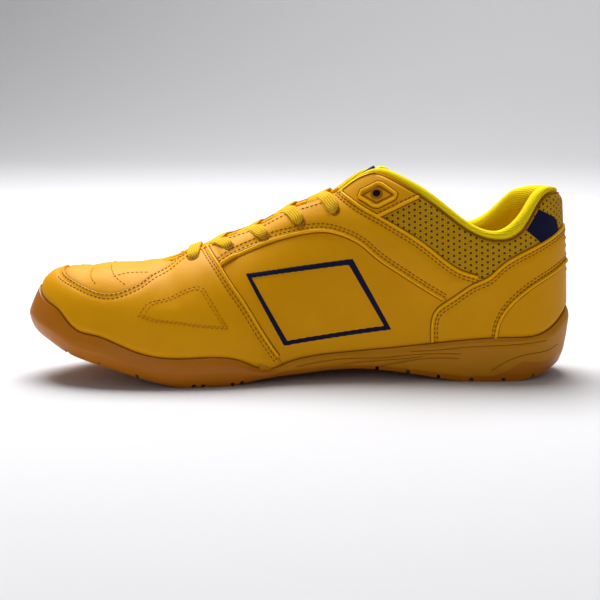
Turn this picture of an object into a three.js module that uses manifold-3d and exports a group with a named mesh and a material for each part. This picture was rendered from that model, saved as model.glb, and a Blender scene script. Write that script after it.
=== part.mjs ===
// An indoor soccer shoe for the right foot, empty and standing on its sole. Millimetres, +Z up.
// The toe points along -X, the inner (medial) side faces -Y, and the floor is z = 0 under the shoe's middle.
// Every piece is worked out from one last: an outline in plan, heights along it, and a column that climbs
// from the feather edge to the crown line at each station.
import * as THREE from "three";
import { mergeVertices } from "three/addons/utils/BufferGeometryUtils.js";
import Module from "manifold-3d";

const wasm = await Module();
wasm.setup();

// Driving dimensions.
const LENGTH = 290;
const BALL_WIDTH = 104;
const STACK_HEIGHT = 20; // floor to the footbed's edge at the heel
const TOE_SPRING = 24; // floor to the tread at the toe tip
const ARCH_RISE = 6.3; // floor to the tread under the arch
const HEEL_BEVEL = 8; // floor to the tread at the back of the heel
const INSTEP_RISE = 101; // footbed to the crown line at the top of the tongue
const TOE_CAP_LIP = 20.5; // how far the sole climbs the upper at the toe tip
const COLLAR_HEIGHT = 100; // floor to the upper's edge at the back of the heel
const UPPER_WALL = 2;
const OVERLAY_WALL = 1.1;
const RAND_WALL = 2.4; // thickness of the sole's lip round the upper
const FIT_GAP = 0.3; // space left between pieces that touch
const FOOT_GAP = 0.5; // space left under the upper's bottom edge
const SOFT_GAP = 1.2; // the same between the upper's wall and the padded pieces inside it
const TREAD_INSET = 4.5; // how far the tread's edge lies inside the widest line of the sole
const MIDSOLE_FLOOR = 3.2; // outsole thickness under the midsole
const HEEL_WRAP = 12; // height of the outsole at the back of the heel
const INSOLE_WALL = 3.5;
const COLLAR_PAD = 6.5;
const COLLAR_ROLL = 12; // how far the padded roll stands above the upper's edge beside the heel tab
const TONGUE_WALL = 5;
const TONGUE_WIDTH = 62;
const THROAT_FRONT_WIDTH = 14;
const THROAT_TOP_WIDTH = 22;
const EYELET_BORE = 4.2;
const EYELET_SETBACK = 10.5; // eyelet centre to the throat's edge
const LOCK_SETBACK = 11.5; // the same for the lock eyelet behind the row
const EYELET_PITCH = 18.65;
const EYELET_ROWS = 5;
const LACE_WIDTH = 6.5;
const LACE_WALL = 1.4;
const GROOVE_WIDTH = 1.6;
const GROOVE_DEPTH = 2;

// Places along the shoe, as shares of LENGTH from the back of the heel.
const THROAT_END = 0.752;
const THROAT_ROUND = 0.035;
const THROAT_BEGIN = 0.34;
const FIRST_EYELET = 0.692;
const LOCK_EYELET = 0.361;
const MIDSOLE_END = 0.565;
const PAD_FRONT = 0.43;

// The outline of the sole at its widest line. Half widths and centre are shares of half the ball width.
const OUTLINE = [
  { along: 0, half: 0, centre: 0 },
  { along: 0.02, half: 0.34, centre: 0 },
  { along: 0.08, half: 0.6, centre: -0.01 },
  { along: 0.16, half: 0.675, centre: -0.005 },
  { along: 0.28, half: 0.66, centre: 0.03 },
  { along: 0.4, half: 0.68, centre: 0.07 },
  { along: 0.5, half: 0.77, centre: 0.075 },
  { along: 0.6, half: 0.91, centre: 0.045 },
  { along: 0.68, half: 0.985, centre: 0.01 },
  { along: 0.73, half: 0.99, centre: -0.01 },
  { along: 0.8, half: 0.945, centre: -0.035 },
  { along: 0.87, half: 0.81, centre: -0.07 },
  { along: 0.93, half: 0.615, centre: -0.1 },
  { along: 0.975, half: 0.36, centre: -0.12 },
  { along: 1, half: 0, centre: -0.13 },
];

// Tread heights, as shares of the toe spring, the arch rise and the heel bevel. Below zero is cut flat.
const TREAD = [
  { along: 0, spring: 0, arch: 0, bevel: 1 },
  { along: 0.025, spring: 0, arch: 0, bevel: 0.68 },
  { along: 0.06, spring: 0, arch: 0, bevel: 0.26 },
  { along: 0.1, spring: 0, arch: -0.02, bevel: 0 },
  { along: 0.2, spring: 0, arch: -0.02, bevel: 0 },
  { along: 0.31, spring: 0, arch: 0.66, bevel: 0 },
  { along: 0.41, spring: 0, arch: 1, bevel: 0 },
  { along: 0.5, spring: 0, arch: 0.68, bevel: 0 },
  { along: 0.56, spring: 0, arch: 0.42, bevel: 0 },
  { along: 0.62, spring: 0, arch: -0.02, bevel: 0 },
  { along: 0.7, spring: -0.01, arch: 0, bevel: 0 },
  { along: 0.75, spring: 0.1, arch: 0, bevel: 0 },
  { along: 0.81, spring: 0.29, arch: 0, bevel: 0 },
  { along: 0.87, spring: 0.48, arch: 0, bevel: 0 },
  { along: 0.92, spring: 0.64, arch: 0, bevel: 0 },
  { along: 0.96, spring: 0.84, arch: 0, bevel: 0 },
  { along: 1, spring: 1, arch: 0, bevel: 0 },
];
const LATERAL_ARCH = 0.45; // the outer side's share of the arch rise

// Footbed edge (share of the heel stack), footbed (same), and the sole's lip above the edge (share of the toe cap's).
const SEAT = [
  { along: 0, edge: 1, bed: 1.02, lip: 0.8 },
  { along: 0.024, edge: 1, bed: 1.02, lip: 0.5 },
  { along: 0.06, edge: 1, bed: 1.02, lip: 0.23 },
  { along: 0.14, edge: 0.97, bed: 1, lip: 0.21 },
  { along: 0.28, edge: 0.78, bed: 0.85, lip: 0.2 },
  { along: 0.39, edge: 0.61, bed: 0.73, lip: 0.2 },
  { along: 0.483, edge: 0.46, bed: 0.65, lip: 0.22 },
  { along: 0.524, edge: 0.39, bed: 0.62, lip: 0.15 },
  { along: 0.555, edge: 0.33, bed: 0.6, lip: 0.075 },
  { along: 0.6, edge: 0.42, bed: 0.6, lip: 0.22 },
  { along: 0.66, edge: 0.5, bed: 0.61, lip: 0.29 },
  { along: 0.738, edge: 0.53, bed: 0.65, lip: 0.26 },
  { along: 0.803, edge: 0.69, bed: 0.8, lip: 0.31 },
  { along: 0.862, edge: 0.92, bed: 1, lip: 0.39 },
  { along: 0.905, edge: 1.06, bed: 1.14, lip: 0.39 },
  { along: 0.936, edge: 1.18, bed: 1.26, lip: 0.65 },
  { along: 0.965, edge: 1.3, bed: 1.36, lip: 0.74 },
  { along: 1, edge: 1.38, bed: 1.43, lip: 1 },
];

// The last above the feather edge. `crown` is the crown line's height over the footbed edge (share of INSTEP_RISE),
// `reach` its place along the shoe, `ridge` its shift (share of half the ball width), `rise` and `roof` how upright
// the sides and how flat the top are, and `lean` how far the sides lean out (share of the column's height).
const LAST = [
  { along: 0, reach: 0.12, crown: 1.3, ridge: 0, rise: 0.62, roof: 1.0, lean: -0.02 },
  { along: 0.1, reach: 0.16, crown: 1.3, ridge: 0, rise: 0.6, roof: 0.9, lean: 0 },
  { along: 0.2, reach: 0.22, crown: 1.25, ridge: 0.02, rise: 0.55, roof: 0.8, lean: 0.01 },
  { along: 0.28, reach: 0.285, crown: 1.12, ridge: 0.04, rise: 0.5, roof: 0.76, lean: 0.01 },
  { along: 0.35, reach: 0.35, crown: 0.99, ridge: 0.05, rise: 0.46, roof: 0.74, lean: 0.02 },
  { along: 0.39, reach: 0.39, crown: 0.958, ridge: 0.045, rise: 0.45, roof: 0.73, lean: 0.03 },
  { along: 0.43, reach: 0.43, crown: 0.885, ridge: 0.04, rise: 0.45, roof: 0.72, lean: 0.04 },
  { along: 0.485, reach: 0.485, crown: 0.828, ridge: 0.03, rise: 0.45, roof: 0.7, lean: 0.05 },
  { along: 0.54, reach: 0.54, crown: 0.774, ridge: 0.02, rise: 0.46, roof: 0.69, lean: 0.05 },
  { along: 0.6, reach: 0.6, crown: 0.675, ridge: 0, rise: 0.48, roof: 0.67, lean: 0.05 },
  { along: 0.67, reach: 0.67, crown: 0.584, ridge: -0.03, rise: 0.5, roof: 0.65, lean: 0.03 },
  { along: 0.75, reach: 0.75, crown: 0.503, ridge: -0.06, rise: 0.52, roof: 0.64, lean: 0.02 },
  { along: 0.85, reach: 0.845, crown: 0.425, ridge: -0.1, rise: 0.55, roof: 0.68, lean: 0 },
  { along: 0.93, reach: 0.89, crown: 0.35, ridge: -0.12, rise: 0.58, roof: 0.66, lean: 0 },
  { along: 1, reach: 0.905, crown: 0.305, ridge: -0.13, rise: 0.6, roof: 0.62, lean: 0 },
];

// The collar's edge on each side (share of COLLAR_HEIGHT) and how far the roll stands above it (share of
// COLLAR_ROLL). Past the throat's top the throat cuts the edge.
const TOPLINE = [
  { along: 0, medial: 0.97, lateral: 0.97, roll: 0.2 },
  { along: 0.03, medial: 0.98, lateral: 0.96, roll: 0.3 },
  { along: 0.05, medial: 0.955, lateral: 0.94, roll: 0.42 },
  { along: 0.07, medial: 0.892, lateral: 0.905, roll: 0.63 },
  { along: 0.09, medial: 0.812, lateral: 0.87, roll: 0.78 },
  { along: 0.115, medial: 0.757, lateral: 0.825, roll: 0.66 },
  { along: 0.14, medial: 0.744, lateral: 0.785, roll: 0.43 },
  { along: 0.17, medial: 0.757, lateral: 0.745, roll: 0.36 },
  { along: 0.2, medial: 0.797, lateral: 0.735, roll: 0.38 },
  { along: 0.26, medial: 0.925, lateral: 0.83, roll: 0.45 },
  { along: 0.31, medial: 1.015, lateral: 0.94, roll: 0.5 },
  { along: 0.364, medial: 1.087, lateral: 1.05, roll: 0.46 },
  { along: 0.43, medial: 1.14, lateral: 1.125, roll: 0.28 },
];

// The line where the midsole sits on the outsole: `over` the tread (share of MIDSOLE_FLOOR) along the foot, and
// `wrap` above the floor (share of HEEL_WRAP) round the heel.
const PARTING = [
  { along: -0.03, over: 0, wrap: 1.02 },
  { along: 0.03, over: 0, wrap: 1 },
  { along: 0.085, over: 0, wrap: 0.93 },
  { along: 0.11, over: 0, wrap: 0.7 },
  { along: 0.13, over: 0, wrap: 0.5 },
  { along: 0.15, over: 1.05, wrap: 0 },
  { along: 0.2, over: 1, wrap: 0 },
  { along: 0.3, over: 0.95, wrap: 0 },
  { along: 0.4, over: 0.9, wrap: 0 },
  { along: 0.5, over: 1, wrap: 0 },
  { along: MIDSOLE_END, over: 1.05, wrap: 0 },
];

// Where the tread's cross grooves lie.
const GROOVES = [0.07, 0.13, 0.19, 0.25, 0.305, 0.36, 0.6, 0.617, 0.67, 0.687, 0.79, 0.86, 0.925];

// Splines over the tables. The station u runs from 0 at the heel to 1 at the toe, bunched at both ends, so a half
// width that grows in proportion to u rounds the heel and toe off.
const stationOf = (along) => Math.acos(1 - 2 * along) / Math.PI;
const alongOf = (station) => (1 - Math.cos(Math.PI * station)) / 2;

function spline(table, column, { level = true, key = stationOf } = {}) {
  const xs = table.map((row) => key(row.along));
  const ys = table.map((row) => row[column]);
  const n = xs.length;
  const gaps = xs.slice(1).map((x, i) => x - xs[i]);
  const slopes = gaps.map((g, i) => (ys[i + 1] - ys[i]) / g);
  // A three-band system for the second derivatives: level ends have no slope, the others no curvature.
  const lower = new Array(n).fill(0);
  const middle = new Array(n).fill(1);
  const upper = new Array(n).fill(0);
  const right = new Array(n).fill(0);
  for (let i = 1; i < n - 1; i++) {
    lower[i] = gaps[i - 1];
    middle[i] = 2 * (gaps[i - 1] + gaps[i]);
    upper[i] = gaps[i];
    right[i] = 6 * (slopes[i] - slopes[i - 1]);
  }
  if (level) {
    middle[0] = 2 * gaps[0];
    upper[0] = gaps[0];
    right[0] = 6 * slopes[0];
    lower[n - 1] = gaps[n - 2];
    middle[n - 1] = 2 * gaps[n - 2];
    right[n - 1] = -6 * slopes[n - 2];
  }
  for (let i = 1; i < n; i++) {
    const share = lower[i] / middle[i - 1];
    middle[i] -= share * upper[i - 1];
    right[i] -= share * right[i - 1];
  }
  const bend = new Array(n).fill(0);
  for (let i = n - 1; i >= 0; i--) bend[i] = (right[i] - upper[i] * (bend[i + 1] ?? 0)) / middle[i];
  return (x) => {
    let i = 0;
    while (i < n - 2 && x > xs[i + 1]) i++;
    const g = gaps[i];
    const a = (xs[i + 1] - x) / g;
    const b = (x - xs[i]) / g;
    return (
      a * ys[i] + b * ys[i + 1] + (((a ** 3 - a) * bend[i] + (b ** 3 - b) * bend[i + 1]) * g * g) / 6
    );
  };
}

const columns = (table, ...names) =>
  Object.fromEntries(names.map((name) => [name, spline(table, name)]));
const outline = { half: spline(OUTLINE, "half", { level: false }), centre: spline(OUTLINE, "centre") };
const tread = columns(TREAD, "spring", "arch", "bevel");
const seat = columns(SEAT, "edge", "bed", "lip");
const last = columns(LAST, "reach", "crown", "ridge", "rise", "roof", "lean");
const topline = columns(TOPLINE, "medial", "lateral", "roll");

// The same with straight lines between the rows.
function straight(table, column) {
  return (along) => {
    const i = clamp(table.findIndex((row) => row.along >= along) - 1, 0, table.length - 2);
    const [a, b] = [table[i], table[i + 1]];
    return a[column] + ((b[column] - a[column]) * (along - a.along)) / (b.along - a.along);
  };
}

// Small vector helpers.
const add = (a, b, share = 1) => a.map((v, i) => v + share * b[i]);
const less = (a, b) => a.map((v, i) => v - b[i]);
const unit = (a) => {
  const long = Math.hypot(...a);
  return a.map((v) => v / long);
};
const cross = (a, b) => [
  a[1] * b[2] - a[2] * b[1],
  a[2] * b[0] - a[0] * b[2],
  a[0] * b[1] - a[1] * b[0],
];
const clamp = (v, low, high) => Math.min(high, Math.max(low, v));

// The outline in plan. side is -1 on the inner side and +1 on the outer; inset moves it in along its normal.
const placeAlong = (along) => LENGTH / 2 - along * LENGTH;

function rawOutline(side, u) {
  const y = (outline.centre(u) + side * outline.half(u)) * (BALL_WIDTH / 2);
  return [placeAlong(alongOf(u)), y];
}

const OUTLINE_PROBES = 400;
const probes = Array.from({ length: OUTLINE_PROBES + 1 }, (_, i) => i / OUTLINE_PROBES);
const widest = Math.max(...probes.map((u) => rawOutline(1, u)[1]));
const narrowest = Math.min(...probes.map((u) => rawOutline(-1, u)[1]));
const SIDE_SHIFT = -(widest + narrowest) / 2; // centres the sole on y = 0

const STEP = 1e-3; // share of a station or column over which slopes are taken
const POLE = 0.01; // nearest that a slope is taken to the heel's or toe's end

function outlineNormal(side, u) {
  if (u <= 0) return [1, 0];
  if (u >= 1) return [-1, 0];
  const before = rawOutline(side, Math.max(0, u - STEP));
  const after = rawOutline(side, Math.min(1, u + STEP));
  const [dx, dy] = unit(less(after, before));
  return [side * dy, -side * dx];
}

function outlinePoint(side, u, inset = 0) {
  const [x, y] = add(rawOutline(side, u), outlineNormal(side, u), -inset);
  return [x, y + SIDE_SHIFT];
}

// Heights round the sole.
function treadHeight(side, u) {
  const arch = side < 0 ? ARCH_RISE : ARCH_RISE * LATERAL_ARCH;
  const height = TOE_SPRING * tread.spring(u) + arch * tread.arch(u) + HEEL_BEVEL * tread.bevel(u);
  return Math.max(0, height);
}
const seatHeight = (u) => STACK_HEIGHT * seat.edge(u);
const bedHeight = (x) => STACK_HEIGHT * seat.bed(stationOf(clamp((LENGTH / 2 - x) / LENGTH, 0, 1)));
const lipHeight = (u) => seatHeight(u) + TOE_CAP_LIP * seat.lip(u);

// The last: a column at station u climbs from the feather edge (t = 0) to the crown line (t = 1).
const FEATHER_INSET = RAND_WALL + FIT_GAP;

function column(side, u, t) {
  const [x, y] = outlinePoint(side, u, FEATHER_INSET);
  const [nx, ny] = outlineNormal(side, u);
  const low = seatHeight(u);
  const tall = INSTEP_RISE * last.crown(u);
  const crown = [
    placeAlong(last.reach(u)),
    last.ridge(u) * (BALL_WIDTH / 2) + SIDE_SHIFT,
    low + tall,
  ];
  const lean = last.lean(u) * tall;
  const foot = [x, y, low + FOOT_GAP];
  const hip = [x + lean * nx, y + lean * ny, low + FOOT_GAP + last.rise(u) * tall];
  const roof = last.roof(u);
  const brow = [crown[0] + roof * (x - crown[0]), crown[1] + roof * (y - crown[1]), crown[2]];
  const s = 1 - t;
  return foot.map(
    (v, i) => s ** 3 * v + 3 * s * s * t * hip[i] + 3 * s * t * t * brow[i] + t ** 3 * crown[i],
  );
}

function oneNormal(side, u, t) {
  const at = clamp(u, POLE, 1 - POLE);
  const alongU = less(column(side, at + STEP, t), column(side, at - STEP, t));
  const alongT = less(
    column(side, at, Math.min(1, t + STEP)),
    column(side, at, Math.max(0, t - STEP)),
  );
  const n = unit(cross(alongU, alongT));
  return side < 0 ? n.map((v) => -v) : n;
}

function normal(side, u, t) {
  if (u > 0 && u < 1 && t < 1) return oneNormal(side, u, t);
  return unit(add(oneNormal(-1, u, t), oneNormal(1, u, t)));
}

// A point on the last, lifted along its normal. Negative lifts lie inside the shoe.
const lifted = (side, u, t, lift = 0) =>
  add(column(side, u, t), normal(side, u, t), lift);

// The level t at which a column passes a test that is false at the feather edge and true at the crown.
function levelWhere(passed) {
  let low = 0;
  let high = 1;
  for (let i = 0; i < 30; i++) {
    const middle = (low + high) / 2;
    if (passed(middle)) high = middle;
    else low = middle;
  }
  return (low + high) / 2;
}
const levelAtHeight = (side, u, z) => levelWhere((t) => column(side, u, t)[2] > z);

// Half the throat's width at a station, rounded off at its front end.
function throatHalf(u) {
  const along = alongOf(u);
  const share = (THROAT_END - along) / (THROAT_END - THROAT_BEGIN);
  const wide = (THROAT_FRONT_WIDTH + share * (THROAT_TOP_WIDTH - THROAT_FRONT_WIDTH)) / 2;
  const near = clamp((THROAT_END - along) / THROAT_ROUND, 0, 1);
  return wide * Math.sqrt(1 - (1 - near) ** 2);
}

// Where the upper's wall ends on a column: at the collar's edge, the throat's edge, or the crown line.
const THROAT_CORNER = 45; // the higher, the sharper the corner between collar and throat

function edgeLevel(side, u) {
  const along = alongOf(u);
  if (along >= THROAT_END - 1e-6) return 1;
  const collarShare = side < 0 ? topline.medial(u) : topline.lateral(u);
  const collar = levelAtHeight(side, u, COLLAR_HEIGHT * collarShare);
  if (along < THROAT_BEGIN - 0.05) return collar;
  const middle = last.ridge(u) * (BALL_WIDTH / 2) + SIDE_SHIFT;
  const throat = levelWhere((t) => Math.abs(column(side, u, t)[1] - middle) < throatHalf(u));
  if (along > 0.45) return throat;
  const soft = Math.exp(-THROAT_CORNER * collar) + Math.exp(-THROAT_CORNER * throat);
  return Math.min(collar, throat, -Math.log(soft) / THROAT_CORNER);
}

// Stations along the shoe, bunched at both ends. The sole, the insole and the shells share them, so their facets
// match and the gaps between them hold.
const STATIONS = 34;

function stationRow(count, from = 0, to = 1, extras = []) {
  const even = Array.from({ length: count + 1 }, (_, i) => from + ((to - from) * i) / count);
  const close = (to - from) / count / 3;
  const kept = even.filter(
    (u, i) => i === 0 || i === count || extras.every((e) => Math.abs(e - u) > close),
  );
  return [...kept, ...extras].sort((a, b) => a - b);
}

// A body under construction, as loose triangles. closed() merges equal corners and turns the faces outwards.
class Skin {
  corners = [];

  quad(a, b, c, d, flip = false) {
    const order = flip ? [a, c, b, a, d, c] : [a, b, c, a, c, d];
    for (const p of order) this.corners.push(...p);
  }

  closed() {
    const loose = new THREE.BufferGeometry().setAttribute(
      "position",
      new THREE.Float32BufferAttribute(this.corners, 3),
    );
    const merged = mergeVertices(loose, 2e-3);
    const index = merged.index.array;
    const at = merged.attributes.position.array;
    const kept = [];
    let volume = 0;
    for (let i = 0; i < index.length; i += 3) {
      const [a, b, c] = [index[i], index[i + 1], index[i + 2]];
      if (a === b || b === c || c === a) continue;
      kept.push(a, b, c);
      const [p, q, r] = [a, b, c].map((k) => [at[3 * k], at[3 * k + 1], at[3 * k + 2]]);
      const [nx, ny, nz] = cross(q, r);
      volume += p[0] * nx + p[1] * ny + p[2] * nz;
    }
    if (volume < 0) kept.reverse();
    return new wasm.Manifold(
      new wasm.Mesh({ numProp: 3, vertProperties: at, triVerts: new Uint32Array(kept) }),
    );
  }
}

// A body swept through rings of equal count, closed by its first and last ring if they have area.
function loft(rings, capped) {
  const skin = new Skin();
  const count = rings[0].length;
  for (let i = 0; i + 1 < rings.length; i++) {
    for (let j = 0; j < count; j++) {
      const k = (j + 1) % count;
      skin.quad(rings[i][j], rings[i + 1][j], rings[i + 1][k], rings[i][k]);
    }
  }
  if (capped) {
    const faces = THREE.ShapeUtils.triangulateShape(flattened(rings[0]), []);
    const otherFaces = THREE.ShapeUtils.triangulateShape(flattened(rings.at(-1)), []);
    for (const [a, b, c] of faces) skin.quad(rings[0][a], rings[0][b], rings[0][c], rings[0][c]);
    for (const [a, b, c] of otherFaces) {
      skin.quad(rings.at(-1)[a], rings.at(-1)[b], rings.at(-1)[c], rings.at(-1)[c], true);
    }
  }
  return skin.closed();
}

// A ring seen square on, as two-dimensional points.
function flattened(ring) {
  const centre = ring.reduce((sum, p) => add(sum, p, 1 / ring.length), [0, 0, 0]);
  const spokes = ring.map((p) => less(p, centre));
  const turned = spokes.map((p, i) => cross(p, spokes[(i + 1) % spokes.length]));
  const square = unit(turned.reduce((sum, p) => add(sum, p), [0, 0, 0]));
  const across = unit(cross(square, spokes[0]));
  const up = cross(square, across);
  const dot = (a, b) => a[0] * b[0] + a[1] * b[1] + a[2] * b[2];
  return spokes.map((p) => new THREE.Vector2(dot(p, across), dot(p, up)));
}

// A shell over the whole last between two lifts: two side walls that share the heel, the toe and the vamp's crown.
// Every shell has the same stations and levels, so nested shells keep their distance facet by facet.
const SHELL_LEVELS = 8;

function shellSolid(outerLift, innerLift) {
  const turn = [0.004, 0.012, 0.022].map((back) => stationOf(THROAT_END - back));
  const stations = stationRow(STATIONS, 0, 1, [...turn, stationOf(THROAT_END)]);
  const skin = new Skin();
  for (const side of [-1, 1]) {
    const flip = side > 0;
    const edge = stations.map((u) => edgeLevel(side, u));
    const grid = (lift) =>
      stations.map((u, i) =>
        Array.from({ length: SHELL_LEVELS + 1 }, (_, j) =>
          lifted(side, u, (edge[i] * j) / SHELL_LEVELS, lift),
        ),
      );
    const outer = grid(outerLift);
    const inner = grid(innerLift);
    const top = SHELL_LEVELS;
    for (let i = 0; i + 1 < stations.length; i++) {
      for (let j = 0; j < top; j++) {
        skin.quad(outer[i][j], outer[i][j + 1], outer[i + 1][j + 1], outer[i + 1][j], flip);
        skin.quad(inner[i][j], inner[i + 1][j], inner[i + 1][j + 1], inner[i][j + 1], flip);
      }
      skin.quad(outer[i][0], outer[i + 1][0], inner[i + 1][0], inner[i][0], flip);
      if (edge[i] < 1) {
        skin.quad(outer[i][top], inner[i][top], inner[i + 1][top], outer[i + 1][top], flip);
      }
    }
  }
  return eyeletPlaces().reduce(
    (body, [side, u, t]) => body.subtract(eyeletPunch(side, u, t)),
    skin.closed(),
  );
}

// Eyelets: a row of five down each side of the throat, and one lock eyelet behind it.
function eyeletPlaces() {
  const places = [];
  for (const side of [-1, 1]) {
    for (let row = 0; row < EYELET_ROWS; row++) places.push(eyeletPlace(side, row));
    const lock = stationOf(LOCK_EYELET);
    places.push([side, lock, edgeLevel(side, lock) - levelShare(side, lock, LOCK_SETBACK)]);
  }
  return places;
}

function eyeletPlace(side, row) {
  const u = stationOf(FIRST_EYELET - (row * EYELET_PITCH) / LENGTH);
  return [side, u, edgeLevel(side, u) - levelShare(side, u, EYELET_SETBACK)];
}

// The share of a column that a length in millimetres takes near its edge.
function levelShare(side, u, millimetres) {
  const edge = Math.min(edgeLevel(side, u), 0.98);
  const climb = less(column(side, u, edge), column(side, u, edge - 0.05));
  return (0.05 * millimetres) / Math.hypot(...climb);
}

const PUNCH_SIDES = 8;
const PUNCH_REACH = 8;

function eyeletPunch(side, u, t) {
  const punch = new THREE.CylinderGeometry(EYELET_BORE / 2, EYELET_BORE / 2, PUNCH_REACH, PUNCH_SIDES);
  const turn = new THREE.Quaternion().setFromUnitVectors(
    new THREE.Vector3(0, 1, 0),
    new THREE.Vector3(...normal(side, u, t)),
  );
  punch.applyQuaternion(turn);
  punch.translate(...column(side, u, t));
  return solidFrom(punch);
}

// A closed three.js geometry as a solid.
function solidFrom(geometry) {
  const bare = geometry.clone();
  bare.deleteAttribute("normal");
  bare.deleteAttribute("uv");
  const merged = mergeVertices(bare, 1e-4);
  return new wasm.Manifold(
    new wasm.Mesh({
      numProp: 3,
      vertProperties: merged.attributes.position.array,
      triVerts: new Uint32Array(merged.index.array),
    }),
  );
}

// The whole sole unit as one block: tread, bulging side, lip round the upper, and the floor under the foot.
const CHANNEL = 9; // width of the feather edge's seat round the footbed
const LIP_EDGE = 1.3; // thickness of the sole's lip at its top
const LEDGE_DEPTH = 0.9; // how far the line moulded round the sole's side steps in
const LEDGE_DROP = 0.5;
const LEDGE_SHARE = 0.5; // its place between the tread and the sole's widest line
const RIM_SLACK = 0.2; // extra room behind the lip where the upper bulges between its facets
const BULGE = [
  { along: 0, height: 0.84 },
  { along: 0.2, height: 0.78 },
  { along: 0.45, height: 0.6 },
  { along: 0.75, height: 0.5 },
  { along: 1, height: 0.42 },
]; // height of the sole's widest line, as a share of its side

const bulge = spline(BULGE, "height");

function soleProfile(side, u) {
  const [nx, ny] = outlineNormal(side, u);
  const bottom = treadHeight(side, u);
  const lip = lipHeight(u);
  const at = (inset, z) => [...outlinePoint(side, u, inset), z];
  const swell = bulge(u) * (lip - bottom);
  const touch = (z, out) => {
    const [x, y] = column(side, u, levelAtHeight(side, u, z));
    return [x + out * nx, y + out * ny, z];
  };
  const seatLine = seatHeight(u);
  return [
    at(TREAD_INSET, bottom),
    at(TREAD_INSET * 0.3 + LEDGE_DEPTH, bottom + LEDGE_SHARE * swell - LEDGE_DROP),
    at(TREAD_INSET * 0.3, bottom + LEDGE_SHARE * swell),
    at(0, bottom + swell),
    touch(lip, FIT_GAP + LIP_EDGE),
    touch(lip, FIT_GAP),
    touch(seatLine + (lip - seatLine) * 0.7, FIT_GAP + RIM_SLACK),
    touch(seatLine + (lip - seatLine) * 0.35, FIT_GAP + RIM_SLACK),
    at(RAND_WALL, seatLine),
    at(FEATHER_INSET + UPPER_WALL + FIT_GAP, seatLine),
  ];
}

function soleBlock() {
  const rings = stationRow(STATIONS).map((u) => {
    const [inner, outer] = [soleProfile(-1, u), soleProfile(1, u)];
    const channel = Math.min(CHANNEL, 0.6 * outline.half(u) * (BALL_WIDTH / 2));
    const bed = (side) => {
      const [x, y] = outlinePoint(side, u, RAND_WALL + channel);
      return [x, y, bedHeight(x) - FIT_GAP];
    };
    return [...inner, bed(-1), bed(1), ...outer.reverse()];
  });
  return loft(rings, false);
}

// The cutter that parts the midsole from the outsole: everything above the parting line, behind its front end.
const SAFE = 20; // how far a cutter reaches past what it cuts
const CUTTER_STEPS = 26;

function partingCutter(drop) {
  const over = straight(PARTING, "over");
  const wrap = straight(PARTING, "wrap");
  const start = PARTING[0].along;
  const line = Array.from({ length: CUTTER_STEPS + 1 }, (_, i) => {
    const along = start + ((MIDSOLE_END - start) * i) / CUTTER_STEPS;
    const under = Math.min(1, over(along)) * treadHeight(-1, stationOf(clamp(along, 0, 1)));
    const z = under + MIDSOLE_FLOOR * over(along) + HEEL_WRAP * wrap(along) - drop;
    return [placeAlong(along) - (i === CUTTER_STEPS ? drop : 0), z];
  });
  return sidePrism([...line, [line.at(-1)[0], COLLAR_HEIGHT], [line[0][0], COLLAR_HEIGHT]], 0);
}

function grooveCutter(along) {
  const u = stationOf(along);
  const low = Math.min(treadHeight(-1, u), treadHeight(1, u));
  const high = Math.max(treadHeight(-1, u), treadHeight(1, u));
  const box = new THREE.BoxGeometry(GROOVE_WIDTH, BALL_WIDTH + SAFE, GROOVE_DEPTH + high - low + SAFE);
  box.translate(placeAlong(along), 0, high + GROOVE_DEPTH - (GROOVE_DEPTH + high - low + SAFE) / 2);
  return solidFrom(box);
}

function soleSolids() {
  const block = soleBlock();
  const midsole = block.intersect(partingCutter(0));
  const outsole = block.subtract(partingCutter(FIT_GAP));
  return {
    midsole,
    outsole: GROOVES.reduce((body, along) => body.subtract(grooveCutter(along)), outsole),
  };
}

// The insole: a sheet on the footbed, inside the upper's wall.
const INSOLE_CUP = 1.2; // how far its edge turns up
const INSOLE_RIM = 3; // width of the turned-up edge
const INSOLE_BEVEL = 0.8; // how far its edge leans in at the bottom

function insoleSolid() {
  const inset = FEATHER_INSET + UPPER_WALL + 2.5 * FIT_GAP;
  const rings = stationRow(STATIONS).map((u) => {
    const edge = (side, more, climb) => {
      const [x, y] = outlinePoint(side, u, inset + more);
      return [x, y, bedHeight(x) + FIT_GAP + climb];
    };
    return [
      edge(-1, INSOLE_BEVEL, 0),
      edge(-1, 0, INSOLE_WALL + INSOLE_CUP),
      edge(-1, INSOLE_RIM, INSOLE_WALL),
      edge(1, INSOLE_RIM, INSOLE_WALL),
      edge(1, 0, INSOLE_WALL + INSOLE_CUP),
      edge(1, INSOLE_BEVEL, 0),
    ];
  });
  return loft(rings, false);
}

// The tongue: a padded sheet under the throat, along the crown line from the vamp to past the collar. Its wings
// dip under the collar's padding where the two lie side by side.
const TONGUE_FRONT = 0.775;
const TONGUE_TOP = 0.34;
const TONGUE_ROUND = 0.07;
const TONGUE_STATIONS = 15;
const TONGUE_LEVELS = 12;
const WING_RAMP = 3.5; // width over which a wing dips

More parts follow.
